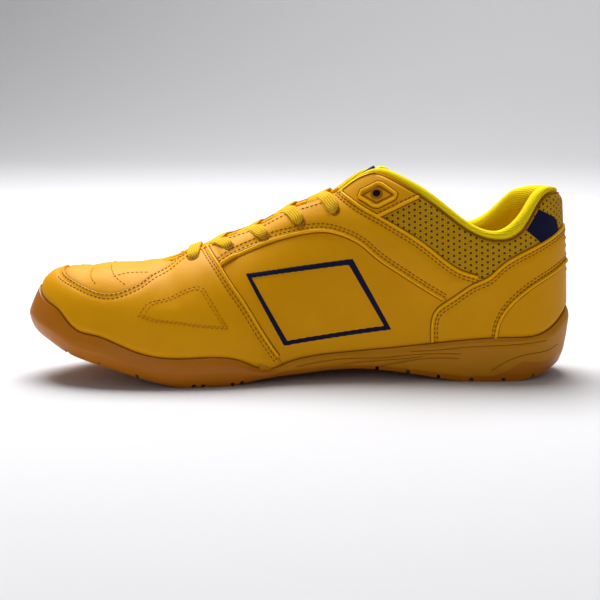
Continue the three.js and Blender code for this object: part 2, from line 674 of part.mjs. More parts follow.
function tongueSolid() {
  const stations = stationRow(TONGUE_STATIONS, stationOf(TONGUE_TOP), stationOf(TONGUE_FRONT));
  const rings = stations.map((u) => {
    const along = alongOf(u);
    const share = (along - TONGUE_TOP) / (TONGUE_FRONT - TONGUE_TOP);
    const near = clamp((along - TONGUE_TOP) / TONGUE_ROUND, 0, 1);
    const half = (TONGUE_WIDTH / 2) * (1 - 0.3 * share) * Math.sqrt(1 - 0.7 * (1 - near) ** 2);
    const middle = last.ridge(u) * (BALL_WIDTH / 2) + SIDE_SHIFT;
    const beside = 1 - clamp((along - PAD_FRONT) / 0.03, 0, 1);
    const dip = beside * (padWall(u) + 1.5 * SOFT_GAP);
    const ramp = throatHalf(u) - COLLAR_ROLL * topline.roll(u) - WING_RAMP;
    const point = (share, side, under) => {
      const out = half * share;
      const t = levelWhere((level) => Math.abs(column(side, u, level)[1] - middle) < out);
      const wing = clamp((out - ramp) / WING_RAMP, 0, 1);
      return lifted(side, u, t, -UPPER_WALL - SOFT_GAP - dip * wing - under);
    };
    const across = Array.from({ length: TONGUE_LEVELS + 1 }, (_, j) => (2 * j) / TONGUE_LEVELS - 1);
    const face = (under) => across.map((c) => point(Math.abs(c), c < 0 ? -1 : 1, under));
    return [...face(0), ...face(TONGUE_WALL).reverse()];
  });
  return loft(rings, true);
}

// The collar lining: a pad inside the upper's edge that rolls out over it, round the heel from throat to throat.
const PAD_LEVELS = 3; // how many of the shell's levels the padding reaches down
const PAD_HEM = 1; // the padding's thickness at its lower edge
const SEAM_GAP = 3 * FIT_GAP; // between the roll and the upper's edge under it
const PAD_TAPER = 0.06; // share of the length over which the padding thins toward the throat
const padWall = (u) =>
  COLLAR_PAD * (1 - 0.55 * clamp(1 + (alongOf(u) - THROAT_BEGIN) / PAD_TAPER, 0, 1));

function collarRing(side, u) {
  const edge = edgeLevel(side, u);
  const perMillimetre = levelShare(side, u, 1);
  const pad = padWall(u);
  const roll = COLLAR_ROLL * topline.roll(u);
  const inside = -(UPPER_WALL + SOFT_GAP);
  const level = (j) => (edge * j) / SHELL_LEVELS;
  const top = SHELL_LEVELS;
  const outer = [3, 2, 1, 0].map((j) => lifted(side, u, level(top - j), inside));
  const place = (climb, lift) => lifted(side, u, edge + climb * perMillimetre, lift);
  return [
    ...outer.slice(0, -1),
    place(SEAM_GAP, inside),
    place(SEAM_GAP, 0),
    place(SEAM_GAP + roll * 0.55, FIT_GAP),
    place(SEAM_GAP + roll, -UPPER_WALL),
    place(SEAM_GAP + roll * 0.9, inside - pad * 0.6),
    place(0, inside - pad),
    lifted(side, u, level(top - PAD_LEVELS / 2), inside - pad * 0.9),
    lifted(side, u, level(top - PAD_LEVELS), inside - PAD_HEM),
  ];
}

function collarSolid() {
  const stations = stationRow(STATIONS).filter((u) => alongOf(u) < PAD_FRONT);
  const around = [
    ...stations.slice(1).reverse().map((u) => collarRing(-1, u)),
    collarRing(-1, 0),
    ...stations.slice(1).map((u) => collarRing(1, u)),
  ];
  return loft(around, true);
}

// Overlays: each is the part of one shell over the upper that lies inside a panel drawn in the side view and above
// the sole's lip. Panel corners are { along, height }, as shares of LENGTH and of a named height.
const LIP_CLEARANCE = 0.8;
const BAND_GAP = 0.5; // between the eyestay band and the counter

// Extrudes a side-view outline over one side of the shoe and just past its middle, or over both when side is 0.
function sidePrism(points, side) {
  const shape = new THREE.Shape();
  shape.moveTo(...points[0]);
  for (const p of points.slice(1)) shape.lineTo(...p);
  const wide = BALL_WIDTH + 2 * SAFE;
  const prism = new THREE.ExtrudeGeometry(shape, { depth: wide, bevelEnabled: false });
  prism.rotateX(Math.PI / 2);
  prism.translate(0, (wide * (1 + side)) / 2 - side * FIT_GAP, 0);
  return solidFrom(prism);
}

function aboveLip(side) {
  const line = stationRow(STATIONS).map((u) => {
    const z = lipHeight(u);
    return [column(side, u, levelAtHeight(side, u, z))[0], z + LIP_CLEARANCE];
  });
  const [back, front] = [line[0], line.at(-1)];
  const high = 2 * COLLAR_HEIGHT;
  return sidePrism(
    [[LENGTH, back[1]], ...line, [-LENGTH, front[1]], [-LENGTH, high], [LENGTH, high]],
    side,
  );
}

const panelPrism = (corners, tall, side = 0) =>
  sidePrism(corners.map(({ along, height }) => [placeAlong(along), tall * height]), side);

// The heel counter: its top falls from the heel tab to the front, which drops to the sole. Shares of COLLAR_HEIGHT.
const COUNTER_TOP = [
  { along: 0.262, height: 0.1 },
  { along: 0.262, height: 0.31 },
  { along: 0.257, height: 0.376 },
  { along: 0.232, height: 0.441 },
  { along: 0.186, height: 0.533 },
  { along: 0.16, height: 0.574 },
  { along: 0.141, height: 0.618 },
  { along: 0.112, height: 0.675 },
  { along: 0.08, height: 0.718 },
  { along: 0.047, height: 0.762 },
  { along: 0.026, height: 0.796 },
  { along: 0, height: 0.84 },
  { along: -0.05, height: 0.88 },
  { along: -0.05, height: 0.1 },
];

// The eyestay band on each side: it arches from the toe panel over the instep and runs down to the counter. Its
// upper edge is the throat as far as the top eyelet. Shares of INSTEP_TOP.
const INSTEP_TOP = STACK_HEIGHT + INSTEP_RISE;

const BAND = [
  { along: 0.645, height: 0.5331 },
  { along: 0.6115, height: 0.5562 },
  { along: 0.583, height: 0.5835 },
  { along: 0.538, height: 0.624 },
  { along: 0.493, height: 0.6488 },
  { along: 0.448, height: 0.6579 },
  { along: 0.418, height: 0.638 },
  { along: 0.389, height: 0.6058 },
  { along: 0.364, height: 0.5562 },
  { along: 0.334, height: 0.5066 },
  { along: 0.303, height: 0.4612 },
  { along: 0.275, height: 0.419 },
  { along: 0.247, height: 0.3835 },
  { along: 0.232, height: 0.3785 },
  { along: 0.192, height: 0.4463 },
  { along: 0.216, height: 0.5 },
  { along: 0.289, height: 0.624 },
  { along: 0.33, height: 0.6802 },
  { along: 0.36, height: 0.7198 },
  { along: 0.392, height: 0.7587 },
  { along: 0.411, height: 0.7893 },
  { along: 0.427, height: 0.8149 },
  { along: 0.44, height: 0.9504 },
  { along: 0.666, height: 0.9504 },
  { along: 0.666, height: 0.5785 },
];

// The toe panel round both sides: its top is the seam of the vamp's plug, and its rear edge falls from the throat
// to the sole. Shares of INSTEP_TOP.
const TOE_PANEL = [
  { along: 0.525, height: 0.0826 },
  { along: 0.5375, height: 0.1331 },
  { along: 0.5666, height: 0.2372 },
  { along: 0.597, height: 0.3537 },
  { along: 0.625, height: 0.4479 },
  { along: 0.647, height: 0.5157 },
  { along: 0.6705, height: 0.5702 },
  { along: 0.6705, height: 0.9091 },
  { along: 0.7, height: 0.9091 },
  { along: 0.704, height: 0.5438 },
  { along: 0.732, height: 0.5107 },
  { along: 0.751, height: 0.4884 },
  { along: 0.768, height: 0.4686 },
  { along: 0.785, height: 0.4446 },
  { along: 0.802, height: 0.4273 },
  { along: 0.82, height: 0.4132 },
  { along: 0.841, height: 0.4058 },
  { along: 0.86, height: 0.4083 },
  { along: 0.882, height: 0.4174 },
  { along: 0.906, height: 0.4331 },
  { along: 0.928, height: 0.4496 },
  { along: 0.945, height: 0.4669 },
  { along: 0.95, height: 0.4959 },
  { along: 1.05, height: 0.4959 },
  { along: 1.05, height: 0.0826 },
];

// A band, cut back from the counter that is sewn beside it.
function eyestay(side) {
  const counter = COUNTER_TOP.map(({ along, height }) => ({
    along: along + BAND_GAP / LENGTH,
    height: height + BAND_GAP / COLLAR_HEIGHT,
  }));
  return overlays
    .intersect(panelPrism(BAND, INSTEP_TOP, side))
    .subtract(panelPrism(counter, COLLAR_HEIGHT));
}

// Laces: flat cord over the throat. c runs across the last, from -1 at the inner feather edge to 1 at the outer.
const LACE_STEPS = 7;
const LACE_LIFT = OVERLAY_WALL + 3.5 * FIT_GAP;
const LACE_DIVE = 1.5; // how far inside the throat's edge a crossing lace goes under
const CROSS_REACH = 0.62; // how far toward the next row a crossing lace goes under, as a share of the pitch
const across = (u, c, lift) => lifted(c < 0 ? -1 : 1, u, 1 - Math.abs(c), lift);

function laceStrip([fromU, fromC], [toU, toC]) {
  const path = Array.from({ length: LACE_STEPS + 1 }, (_, i) => {
    const share = i / LACE_STEPS;
    return [fromU + (toU - fromU) * share, fromC + (toC - fromC) * share];
  });
  const rings = path.map(([u, c], i) => {
    const [a, b] = [path[Math.max(0, i - 1)], path[Math.min(LACE_STEPS, i + 1)]];
    const ahead = unit(less(across(b[0], b[1], 0), across(a[0], a[1], 0)));
    const up = normal(c < 0 ? -1 : 1, u, 1 - Math.abs(c));
    const aside = unit(cross(up, ahead));
    const base = across(u, c, LACE_LIFT);
    const corner = (out, lift) => add(add(base, aside, (out * LACE_WIDTH) / 2), up, lift * LACE_WALL);
    return [corner(-1, 0.2), corner(-0.7, 1), corner(0.7, 1), corner(1, 0.2), corner(0, 0)];
  });
  return loft(rings, true);
}

const eyeletEnd = (side, row) => {
  const [, u, t] = eyeletPlace(side, row);
  return [u, side * (1 - t)];
};
const throatEdge = (side, row) => {
  const [, u] = eyeletPlace(side, row);
  return [u, side * (1 - edgeLevel(side, u) - levelShare(side, u, LACE_DIVE))];
};

const laceBar = () => laceStrip(eyeletEnd(-1, 0), eyeletEnd(1, 0));
const laceCrossing = (row) =>
  laceStrip(eyeletEnd(-1, row), throatEdge(1, row - CROSS_REACH)).add(
    laceStrip(eyeletEnd(1, row), throatEdge(-1, row - CROSS_REACH)),
  );

// The pieces, each a named mesh in its own finish.
const FINISH = {
  leather: { color: 0xe0a010, roughness: 0.55 },
  gum: { color: 0xb87818, roughness: 0.4 },
  foam: { color: 0xc98f10, roughness: 0.5 },
  knit: { color: 0xf5d010, roughness: 0.9 },
  cord: { color: 0xf0bc30, roughness: 0.85 },
};

const SMOOTHNESS = 0.1; // facets flatter than this are joined

function piece(name, solid, finish) {
  const { vertProperties, triVerts } = solid.simplify(SMOOTHNESS).getMesh();
  const geometry = new THREE.BufferGeometry()
    .setAttribute("position", new THREE.BufferAttribute(vertProperties, 3))
    .setIndex(new THREE.BufferAttribute(triVerts, 1));
  geometry.computeVertexNormals();
  const material = new THREE.MeshStandardMaterial({ ...FINISH[finish], metalness: 0 });
  const mesh = new THREE.Mesh(geometry, material);
  mesh.name = name;
  return mesh;
}

const { midsole, outsole } = soleSolids();
const overlays = shellSolid(FIT_GAP + OVERLAY_WALL, FIT_GAP).intersect(aboveLip(-1).add(aboveLip(1)));
const shoe = new THREE.Group();
shoe.name = "indoor_soccer_shoe";
shoe.add(
  piece("outsole", outsole, "gum"),
  piece("midsole", midsole, "foam"),
  piece("insole", insoleSolid(), "knit"),
  piece("upper", shellSolid(0, -UPPER_WALL), "leather"),
  piece("heel_counter", overlays.intersect(panelPrism(COUNTER_TOP, COLLAR_HEIGHT)), "leather"),
  piece("toe_panel", overlays.intersect(panelPrism(TOE_PANEL, INSTEP_TOP)), "leather"),
  piece("eyestay_medial", eyestay(-1), "leather"),
  piece("eyestay_lateral", eyestay(1), "leather"),
  piece("collar_lining", collarSolid(), "knit"),
  piece("tongue", tongueSolid(), "knit"),
  piece("lace_bar", laceBar(), "cord"),
);
for (let row = 1; row < EYELET_ROWS; row++) {
  shoe.add(piece(`lace_crossing_${row}`, laceCrossing(row), "cord"));
}

export default shoe;
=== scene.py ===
import math

import bmesh
import bpy
import numpy as np
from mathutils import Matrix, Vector
from mathutils.bvhtree import BVHTree
from mathutils.kdtree import KDTree


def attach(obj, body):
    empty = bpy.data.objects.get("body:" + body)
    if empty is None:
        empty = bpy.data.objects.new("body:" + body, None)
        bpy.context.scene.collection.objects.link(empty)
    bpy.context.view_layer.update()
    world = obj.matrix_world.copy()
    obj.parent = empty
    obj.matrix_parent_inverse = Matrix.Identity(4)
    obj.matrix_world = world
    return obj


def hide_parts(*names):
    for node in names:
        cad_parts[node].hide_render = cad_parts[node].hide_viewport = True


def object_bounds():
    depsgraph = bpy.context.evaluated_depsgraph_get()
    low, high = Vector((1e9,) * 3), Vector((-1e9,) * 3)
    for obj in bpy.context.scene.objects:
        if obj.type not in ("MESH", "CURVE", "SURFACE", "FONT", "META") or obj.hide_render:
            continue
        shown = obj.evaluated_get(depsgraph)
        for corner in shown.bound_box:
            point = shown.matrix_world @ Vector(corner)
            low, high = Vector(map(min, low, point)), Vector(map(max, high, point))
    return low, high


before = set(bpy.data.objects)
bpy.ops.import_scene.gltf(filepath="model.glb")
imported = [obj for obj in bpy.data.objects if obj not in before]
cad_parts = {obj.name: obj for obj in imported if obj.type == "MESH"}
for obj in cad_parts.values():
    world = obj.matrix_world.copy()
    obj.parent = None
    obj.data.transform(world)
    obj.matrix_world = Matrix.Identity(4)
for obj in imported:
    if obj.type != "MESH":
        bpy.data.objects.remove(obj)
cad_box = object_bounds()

# The upper: first the last, the foot-shaped form that it is built over, never seen itself, then its creases
# and its wall. Millimetres, as in the solids, and written to the meshes in metres. The station u runs from 0
# at the heel to 1 at the toe, and the level t climbs from 0 at the feather edge, where upper meets sole, to
# 1 at the crown line.
MM = 0.001
LENGTH = (cad_box[1][0] - cad_box[0][0]) / MM
BALL_WIDTH = 104
STACK_HEIGHT = 20
INSTEP_RISE = 101
TOE_CAP_LIP = 20.5
COLLAR_HEIGHT = 100
FIT_GAP = 0.3
FOOT_GAP = 0.5
RAND_WALL = 2.4
FEATHER_INSET = RAND_WALL + FIT_GAP
THROAT_BEGIN = 0.34
THROAT_END = 0.752
THROAT_ROUND = 0.035
THROAT_CORNER = 45
THROAT_FRONT_WIDTH = 14
THROAT_TOP_WIDTH = 22
STEP = 1e-3
POLE = 0.01


def table(names, *rows):
    return {name: np.array([row[i] for row in rows], float) for i, name in enumerate(names.split())}


OUTLINE = table(
    "along half centre",
    (0, 0, 0),
    (0.02, 0.34, 0),
    (0.08, 0.6, -0.01),
    (0.16, 0.675, -0.005),
    (0.28, 0.66, 0.03),
    (0.4, 0.68, 0.07),
    (0.5, 0.77, 0.075),
    (0.6, 0.91, 0.045),
    (0.68, 0.985, 0.01),
    (0.73, 0.99, -0.01),
    (0.8, 0.945, -0.035),
    (0.87, 0.81, -0.07),
    (0.93, 0.615, -0.1),
    (0.975, 0.36, -0.12),
    (1, 0, -0.13),
)
SEAT = table(
    "along edge bed lip",
    (0, 1, 1.02, 0.8),
    (0.024, 1, 1.02, 0.5),
    (0.06, 1, 1.02, 0.23),
    (0.14, 0.97, 1, 0.21),
    (0.28, 0.78, 0.85, 0.2),
    (0.39, 0.61, 0.73, 0.2),
    (0.483, 0.46, 0.65, 0.22),
    (0.524, 0.39, 0.62, 0.15),
    (0.555, 0.33, 0.6, 0.075),
    (0.6, 0.42, 0.6, 0.22),
    (0.66, 0.5, 0.61, 0.29),
    (0.738, 0.53, 0.65, 0.26),
    (0.803, 0.69, 0.8, 0.31),
    (0.862, 0.92, 1, 0.39),
    (0.905, 1.06, 1.14, 0.39),
    (0.936, 1.18, 1.26, 0.65),
    (0.965, 1.3, 1.36, 0.74),
    (1, 1.38, 1.43, 1),
)
LAST = table(
    "along reach crown ridge rise roof lean",
    (0, 0.12, 1.3, 0, 0.62, 1.0, -0.02),
    (0.1, 0.16, 1.3, 0, 0.6, 0.9, 0),
    (0.2, 0.22, 1.25, 0.02, 0.55, 0.8, 0.01),
    (0.28, 0.285, 1.12, 0.04, 0.5, 0.76, 0.01),
    (0.35, 0.35, 0.99, 0.05, 0.46, 0.74, 0.02),
    (0.39, 0.39, 0.958, 0.045, 0.45, 0.73, 0.03),
    (0.43, 0.43, 0.885, 0.04, 0.45, 0.72, 0.04),
    (0.485, 0.485, 0.828, 0.03, 0.45, 0.7, 0.05),
    (0.54, 0.54, 0.774, 0.02, 0.46, 0.69, 0.05),
    (0.6, 0.6, 0.675, 0, 0.48, 0.67, 0.05),
    (0.67, 0.67, 0.584, -0.03, 0.5, 0.65, 0.03),
    (0.75, 0.75, 0.503, -0.06, 0.52, 0.64, 0.02),
    (0.85, 0.845, 0.425, -0.1, 0.55, 0.68, 0),
    (0.93, 0.89, 0.35, -0.12, 0.58, 0.66, 0),
    (1, 0.905, 0.305, -0.13, 0.6, 0.62, 0),
)
TOPLINE = table(
    "along medial lateral roll",
    (0, 0.97, 0.97, 0.2),
    (0.03, 0.98, 0.96, 0.3),
    (0.05, 0.955, 0.94, 0.42),
    (0.07, 0.892, 0.905, 0.63),
    (0.09, 0.812, 0.87, 0.78),
    (0.115, 0.757, 0.825, 0.66),
    (0.14, 0.744, 0.785, 0.43),
    (0.17, 0.757, 0.745, 0.36),
    (0.2, 0.797, 0.735, 0.38),
    (0.26, 0.925, 0.83, 0.45),
    (0.31, 1.015, 0.94, 0.5),
    (0.364, 1.087, 1.05, 0.46),
    (0.43, 1.14, 1.125, 0.28),
)


def station_of(along):
    return np.arccos(1 - 2 * np.clip(along, 0, 1)) / np.pi


def along_of(u):
    return (1 - np.cos(np.pi * u)) / 2


def cubic(x, y, level):
    """A cubic spline through (x, y), level at its ends or free of curvature there."""
    gap = np.diff(x)
    slope = np.diff(y) / gap
    count = len(x)
    band = np.eye(count)
    right = np.zeros(count)
    for i in range(1, count - 1):
        band[i, i - 1 : i + 2] = gap[i - 1], 2 * (gap[i - 1] + gap[i]), gap[i]
        right[i] = 6 * (slope[i] - slope[i - 1])
    if level:
        band[0, :2] = 2 * gap[0], gap[0]
        right[0] = 6 * slope[0]
        band[-1, -2:] = gap[-1], 2 * gap[-1]
        right[-1] = -6 * slope[-1]
    bend = np.linalg.solve(band, right)

    def read(at):
        i = np.clip(np.searchsorted(x, at) - 1, 0, count - 2)
        a = (x[i + 1] - at) / gap[i]
        b = (at - x[i]) / gap[i]
        curve = ((a**3 - a) * bend[i] + (b**3 - b) * bend[i + 1]) * gap[i] ** 2 / 6
        return a * y[i] + b * y[i + 1] + curve

    return read


def columns(rows, free=""):
    stations = station_of(rows["along"])
    return {name: cubic(stations, rows[name], name != free) for name in rows if name != "along"}


outline = columns(OUTLINE, free="half")
seat = columns(SEAT)
last = columns(LAST)
topline = columns(TOPLINE)


def unit(vectors):
    return vectors / np.maximum(np.linalg.norm(vectors, axis=-1, keepdims=True), 1e-12)


def place(along):
    return LENGTH / 2 - along * LENGTH


def raw_plan(side, u):
    y = (outline["centre"](u) + side * outline["half"](u)) * BALL_WIDTH / 2
    return np.stack([place(along_of(u)), y], -1)


plan_probes = np.linspace(0, 1, 401)
SIDE_SHIFT = -(raw_plan(1, plan_probes)[:, 1].max() + raw_plan(-1, plan_probes)[:, 1].min()) / 2


def plan_normal(side, u):
    step = raw_plan(side, np.minimum(1, u + STEP)) - raw_plan(side, np.maximum(0, u - STEP))
    out = unit(np.stack([side * step[..., 1], -side * step[..., 0]], -1))
    out = np.where((u <= 0)[..., None], [1.0, 0.0], out)
    return np.where((u >= 1)[..., None], [-1.0, 0.0], out)


def plan_point(side, u, inset=0.0):
    return raw_plan(side, u) - np.asarray(inset)[..., None] * plan_normal(side, u) + [0, SIDE_SHIFT]


def seat_height(u):
    return STACK_HEIGHT * seat["edge"](u)


def lip_height(u):
    return seat_height(u) + TOE_CAP_LIP * seat["lip"](u)


def middle_line(u):
    return last["ridge"](u) * BALL_WIDTH / 2 + SIDE_SHIFT


def posts(side, u):
    """Each column's four controls, from the feather edge to the crown line."""
    edge = plan_point(side, u, np.full(u.shape, FEATHER_INSET))
    out = plan_normal(side, u)
    low = seat_height(u)
    tall = INSTEP_RISE * last["crown"](u)
    lean = (last["lean"](u) * tall)[..., None]
    crown_x = place(last["reach"](u))
    roof = last["roof"](u)
    foot = np.concatenate([edge, (low + FOOT_GAP)[..., None]], -1)
    hip_height = low + FOOT_GAP + last["rise"](u) * tall
    hip = np.concatenate([edge + lean * out, hip_height[..., None]], -1)
    crown = np.stack([crown_x, middle_line(u), low + tall], -1)
    brow_x = crown_x + roof * (edge[..., 0] - crown_x)
    brow_y = crown[..., 1] + roof * (edge[..., 1] - crown[..., 1])
    return foot, hip, np.stack([brow_x, brow_y, low + tall], -1), crown


def climb(controls, t):
    foot, hip, brow, crown = controls
    t = np.asarray(t, float)[..., None]
    s = 1 - t
    return s**3 * foot + 3 * s * s * t * hip + 3 * s * t * t * brow + t**3 * crown


def column(side, u, t):
    """Points on the last at stations u and levels t."""
    return climb(posts(side, np.asarray(u, float)), t)


def side_normal(side, u, t):
    u = np.clip(u, POLE, 1 - POLE)
    along_u = column(side, u + STEP, t) - column(side, u - STEP, t)
    along_t = column(side, u, np.minimum(1, t + STEP)) - column(side, u, np.maximum(0, t - STEP))
    return unit(np.cross(along_u, along_t)) * (1 if side > 0 else -1)


def normal(side, u, t):
    u, t = np.asarray(u, float), np.asarray(t, float)
    own = side_normal(side, u, t)
    shared = unit(own + side_normal(-side, u, t))
    return np.where(((u <= 0) | (u >= 1) | (t >= 1))[..., None], shared, own)


def lifted(side, u, t, lift):
    lift = np.broadcast_to(lift, np.broadcast(u, t).shape)[..., None]
    return column(side, u, t) + lift * normal(side, u, t)


def level_where(passed, shape):
    """The level at which each column passes a test that fails at the feather edge and holds at the crown."""
    low = np.zeros(shape)
    high = np.ones(shape)
    for _ in range(24):
        middle = (low + high) / 2
        done = passed(middle)
        high = np.where(done, middle, high)
        low = np.where(done, low, middle)
    return (low + high) / 2


def level_at_height(side, u, z):
    controls = posts(side, np.asarray(u, float))
    return level_where(lambda t: climb(controls, t)[..., 2] > z, np.shape(u))


def throat_half(u):
    along = along_of(u)
    share = (THROAT_END - along) / (THROAT_END - THROAT_BEGIN)
    wide = (THROAT_FRONT_WIDTH + share * (THROAT_TOP_WIDTH - THROAT_FRONT_WIDTH)) / 2
    near = np.clip((THROAT_END - along) / THROAT_ROUND, 0, 1)
    return wide * np.sqrt(1 - (1 - near) ** 2)


def edge_level(side, u):
    """Where the upper's wall ends on a column: the collar's edge, the throat's edge or the crown line."""
    u = np.asarray(u, float)
    along = along_of(u)
    share = topline["medial" if side < 0 else "lateral"](u)
    collar = level_at_height(side, u, COLLAR_HEIGHT * share)
    controls, middle, half = posts(side, u), middle_line(u), throat_half(u)
    throat = level_where(lambda t: np.abs(climb(controls, t)[..., 1] - middle) < half, u.shape)
    soft = -np.log(np.exp(-THROAT_CORNER * collar) + np.exp(-THROAT_CORNER * throat)) / THROAT_CORNER
    both = np.minimum(np.minimum(collar, throat), soft)
    edge = np.where(along < THROAT_BEGIN - 0.05, collar, np.where(along > 0.45, throat, both))
    return np.where(along >= THROAT_END - 1e-6, 1.0, edge)


def level_share(side, u, millimetres):
    """The share of a column that a length takes near its edge."""
    edge = np.minimum(edge_level(side, u), 0.98)
    climb = np.linalg.norm(column(side, u, edge) - column(side, u, edge - 0.05), axis=-1)
    return 0.05 * millimetres / climb


# Its creases: soft troughs and ridges that walking leaves, in the panels and the wall under them alike. Each
# runs straight between two places on the side; `deep` above zero is a trough.
SPREAD = LENGTH * math.pi / 2
CREASES = table(
    "along height to_along to_height wide deep",
    (0.742, 61, 0.706, 36, 5.5, 0.55),
    (0.775, 57, 0.742, 33, 5, -0.3),
    (0.69, 52, 0.66, 26, 6, -0.25),
    (0.655, 54, 0.61, 30, 5, 0.3),
    (0.56, 58, 0.5, 24, 9, 0.35),
    (0.4, 62, 0.33, 26, 9, -0.3),
    (0.325, 66, 0.29, 42, 4, 0.3),
    (0.255, 60, 0.235, 40, 4, 0.25),
    (0.12, 60, 0.05, 40, 6, 0.3),
    (0.86, 44, 0.82, 28, 6, 0.2),
    (0.9, 62, 0.8, 66, 9, 1.3),
)
HEEL_RIB_PITCH = 4.2
HEEL_RIB_RISE = 0.4
HEEL_RIB_REACH = 0.05
HEEL_RIBS_FROM = 52
HEEL_RIBS_TO = 80


def softly(share):
    share = np.clip(share, 0, 1)
    return share * share * (3 - 2 * share)


def from_segment(points, start, end):
    along = end - start
    share = np.clip(((points - start) @ along) / (along @ along), 0, 1)
    return np.linalg.norm(points - start - share[..., None] * along, axis=-1)


def crease(u, z):
    at = np.stack([u * SPREAD, z], -1)
    total = np.zeros(z.shape)
    for a, h, to_a, to_h, wide, deep in zip(*CREASES.values()):
        start = np.array([station_of(a) * SPREAD, h])
        end = np.array([station_of(to_a) * SPREAD, to_h])
        total -= deep * np.exp(-((from_segment(at, start, end) / wide) ** 2))
    near_back = softly(1.5 - u / HEEL_RIB_REACH)
    on_back = softly((z - HEEL_RIBS_FROM) / 3) * softly((HEEL_RIBS_TO - z) / 3)
    ribs = np.maximum(0, np.cos(2 * math.pi * (z - HEEL_RIBS_FROM) / HEEL_RIB_PITCH))
    return total + HEEL_RIB_RISE * near_back * on_back * ribs


# Its wall: one hollow shell of leather over its backing, 2 mm thick, open at the collar, the throat and
# underneath. It is lasted over the form, and its bottom edge is cemented into the sole's lip.
UPPER_WALL = 2.0
WALL_SPACING = 1.5
WELD = 0.02
SHARP_FOLD = math.radians(50)
EYELET_ROWS = 5
EYELET_PITCH = 18.65
EYELET_SETBACK = 10.5
EYELET_BORE = 4.2
FIRST_EYELET = 0.692
LOCK_EYELET = 0.361
LOCK_SETBACK = 11.5
SEAM_SHADE = 0.3
PLUG_PUFF = 0.3
GOLD = (0.86, 0.4, 0.0, 1)
GOLD_DEEP = (0.7, 0.29, 0.0, 1)
# Painted shade: the dark colour the leather turns to along its seams, where their shadow falls.
GOLD_SEAM_SHADE = (0.24, 0.08, 0.0, 1)


def shader_group(name, outputs, inputs=()):
    group = bpy.data.node_groups.new(name, "ShaderNodeTree")
    for socket in inputs:
        group.interface.new_socket(socket, in_out="INPUT", socket_type="NodeSocketFloat")
    for socket in outputs:
        group.interface.new_socket(socket, in_out="OUTPUT", socket_type="NodeSocketFloat")
    start = group.nodes.new("NodeGroupInput")
    end = group.nodes.new("NodeGroupOutput")
    return group, start, end


def math_node(tree, operation, first, second=None, third=None):
    node = tree.nodes.new("ShaderNodeMath")
    node.operation = operation
    for socket, value in zip(node.inputs, (first, second, third)):
        if isinstance(value, bpy.types.NodeSocket):
            tree.links.new(value, socket)
        elif value is not None:
            socket.default_value = value
    return node.outputs[0]


def hide_grain():
    """Leather grain: pebbles over a soft mottle. Height for the bump, Tone for colour and gloss."""
    group, start, end = shader_group("hide_grain", ("Height", "Tone"), ("Pebble Scale", "Mottle Scale"))
    place_node = group.nodes.new("ShaderNodeTexCoord")
    pebbles = group.nodes.new("ShaderNodeTexVoronoi")
    pebbles.feature = "SMOOTH_F1"
    pebbles.inputs["Smoothness"].default_value = 0.6
    pores = group.nodes.new("ShaderNodeTexNoise")
    pores.inputs["Detail"].default_value = 4
    mottle = group.nodes.new("ShaderNodeTexNoise")
    mottle.inputs["Detail"].default_value = 3
    for node in (pebbles, pores, mottle):
        group.links.new(place_node.outputs["Object"], node.inputs["Vector"])
    group.links.new(start.outputs["Pebble Scale"], pebbles.inputs["Scale"])
    fine = math_node(group, "MULTIPLY", start.outputs["Pebble Scale"], 2.3)
    group.links.new(fine, pores.inputs["Scale"])
    group.links.new(start.outputs["Mottle Scale"], mottle.inputs["Scale"])
    height = math_node(group, "MULTIPLY_ADD", pebbles.outputs["Distance"], 0.6, pores.outputs["Fac"])
    group.links.new(height, end.inputs["Height"])
    tone = math_node(group, "MULTIPLY_ADD", pores.outputs["Fac"], 0.35, mottle.outputs["Fac"])
    group.links.new(math_node(group, "MULTIPLY", tone, 0.74), end.inputs["Tone"])
    return group


grain = hide_grain()


def finish(name, roughness, **sockets):
    """A material with one Principled shader, its even values set on the shader's own sockets."""
    material = bpy.data.materials.new(name)
    material.use_nodes = True
    tree = material.node_tree
    shader = tree.nodes["Principled BSDF"]
    shader.inputs["Roughness"].default_value = roughness
    for socket, value in sockets.items():
        shader.inputs[socket.replace("_", " ")].default_value = value
    return material, tree, shader


def blend_colours(tree, share, low, high):
    mix = tree.nodes.new("ShaderNodeMix")
    mix.data_type = "RGBA"
    for socket, value in ((mix.inputs[0], share), (mix.inputs[6], low), (mix.inputs[7], high)):
        if isinstance(value, bpy.types.NodeSocket):
            tree.links.new(value, socket)
        else:
            socket.default_value = value
    return mix.outputs[2]


def bump(tree, shader, height, distance, strength=1.0):
    node = tree.nodes.new("ShaderNodeBump")
    node.inputs["Distance"].default_value = distance * MM
    node.inputs["Strength"].default_value = strength
    tree.links.new(height, node.inputs["Height"])
    tree.links.new(node.outputs["Normal"], shader.inputs["Normal"])


def leather(name, bright, deep, seam_shade_colour, pebble, roughness):
    material, tree, shader = finish(name, roughness, Specular_IOR_Level=0.1)
    texture = tree.nodes.new("ShaderNodeGroup")
    texture.node_tree = grain
    texture.inputs["Pebble Scale"].default_value = pebble
    texture.inputs["Mottle Scale"].default_value = 26
    shade = tree.nodes.new("ShaderNodeAttribute")
    shade.attribute_name = "shade"
    body = blend_colours(tree, texture.outputs["Tone"], deep, bright)
    # The `shade` attribute mixes in the seam-shade colour: painted shade along seams and panel edges.
    tree.links.new(blend_colours(tree, shade.outputs["Fac"], body, seam_shade_colour), shader.inputs["Base Color"])
    bump(tree, shader, texture.outputs["Height"], 0.12, 0.45)
    return material


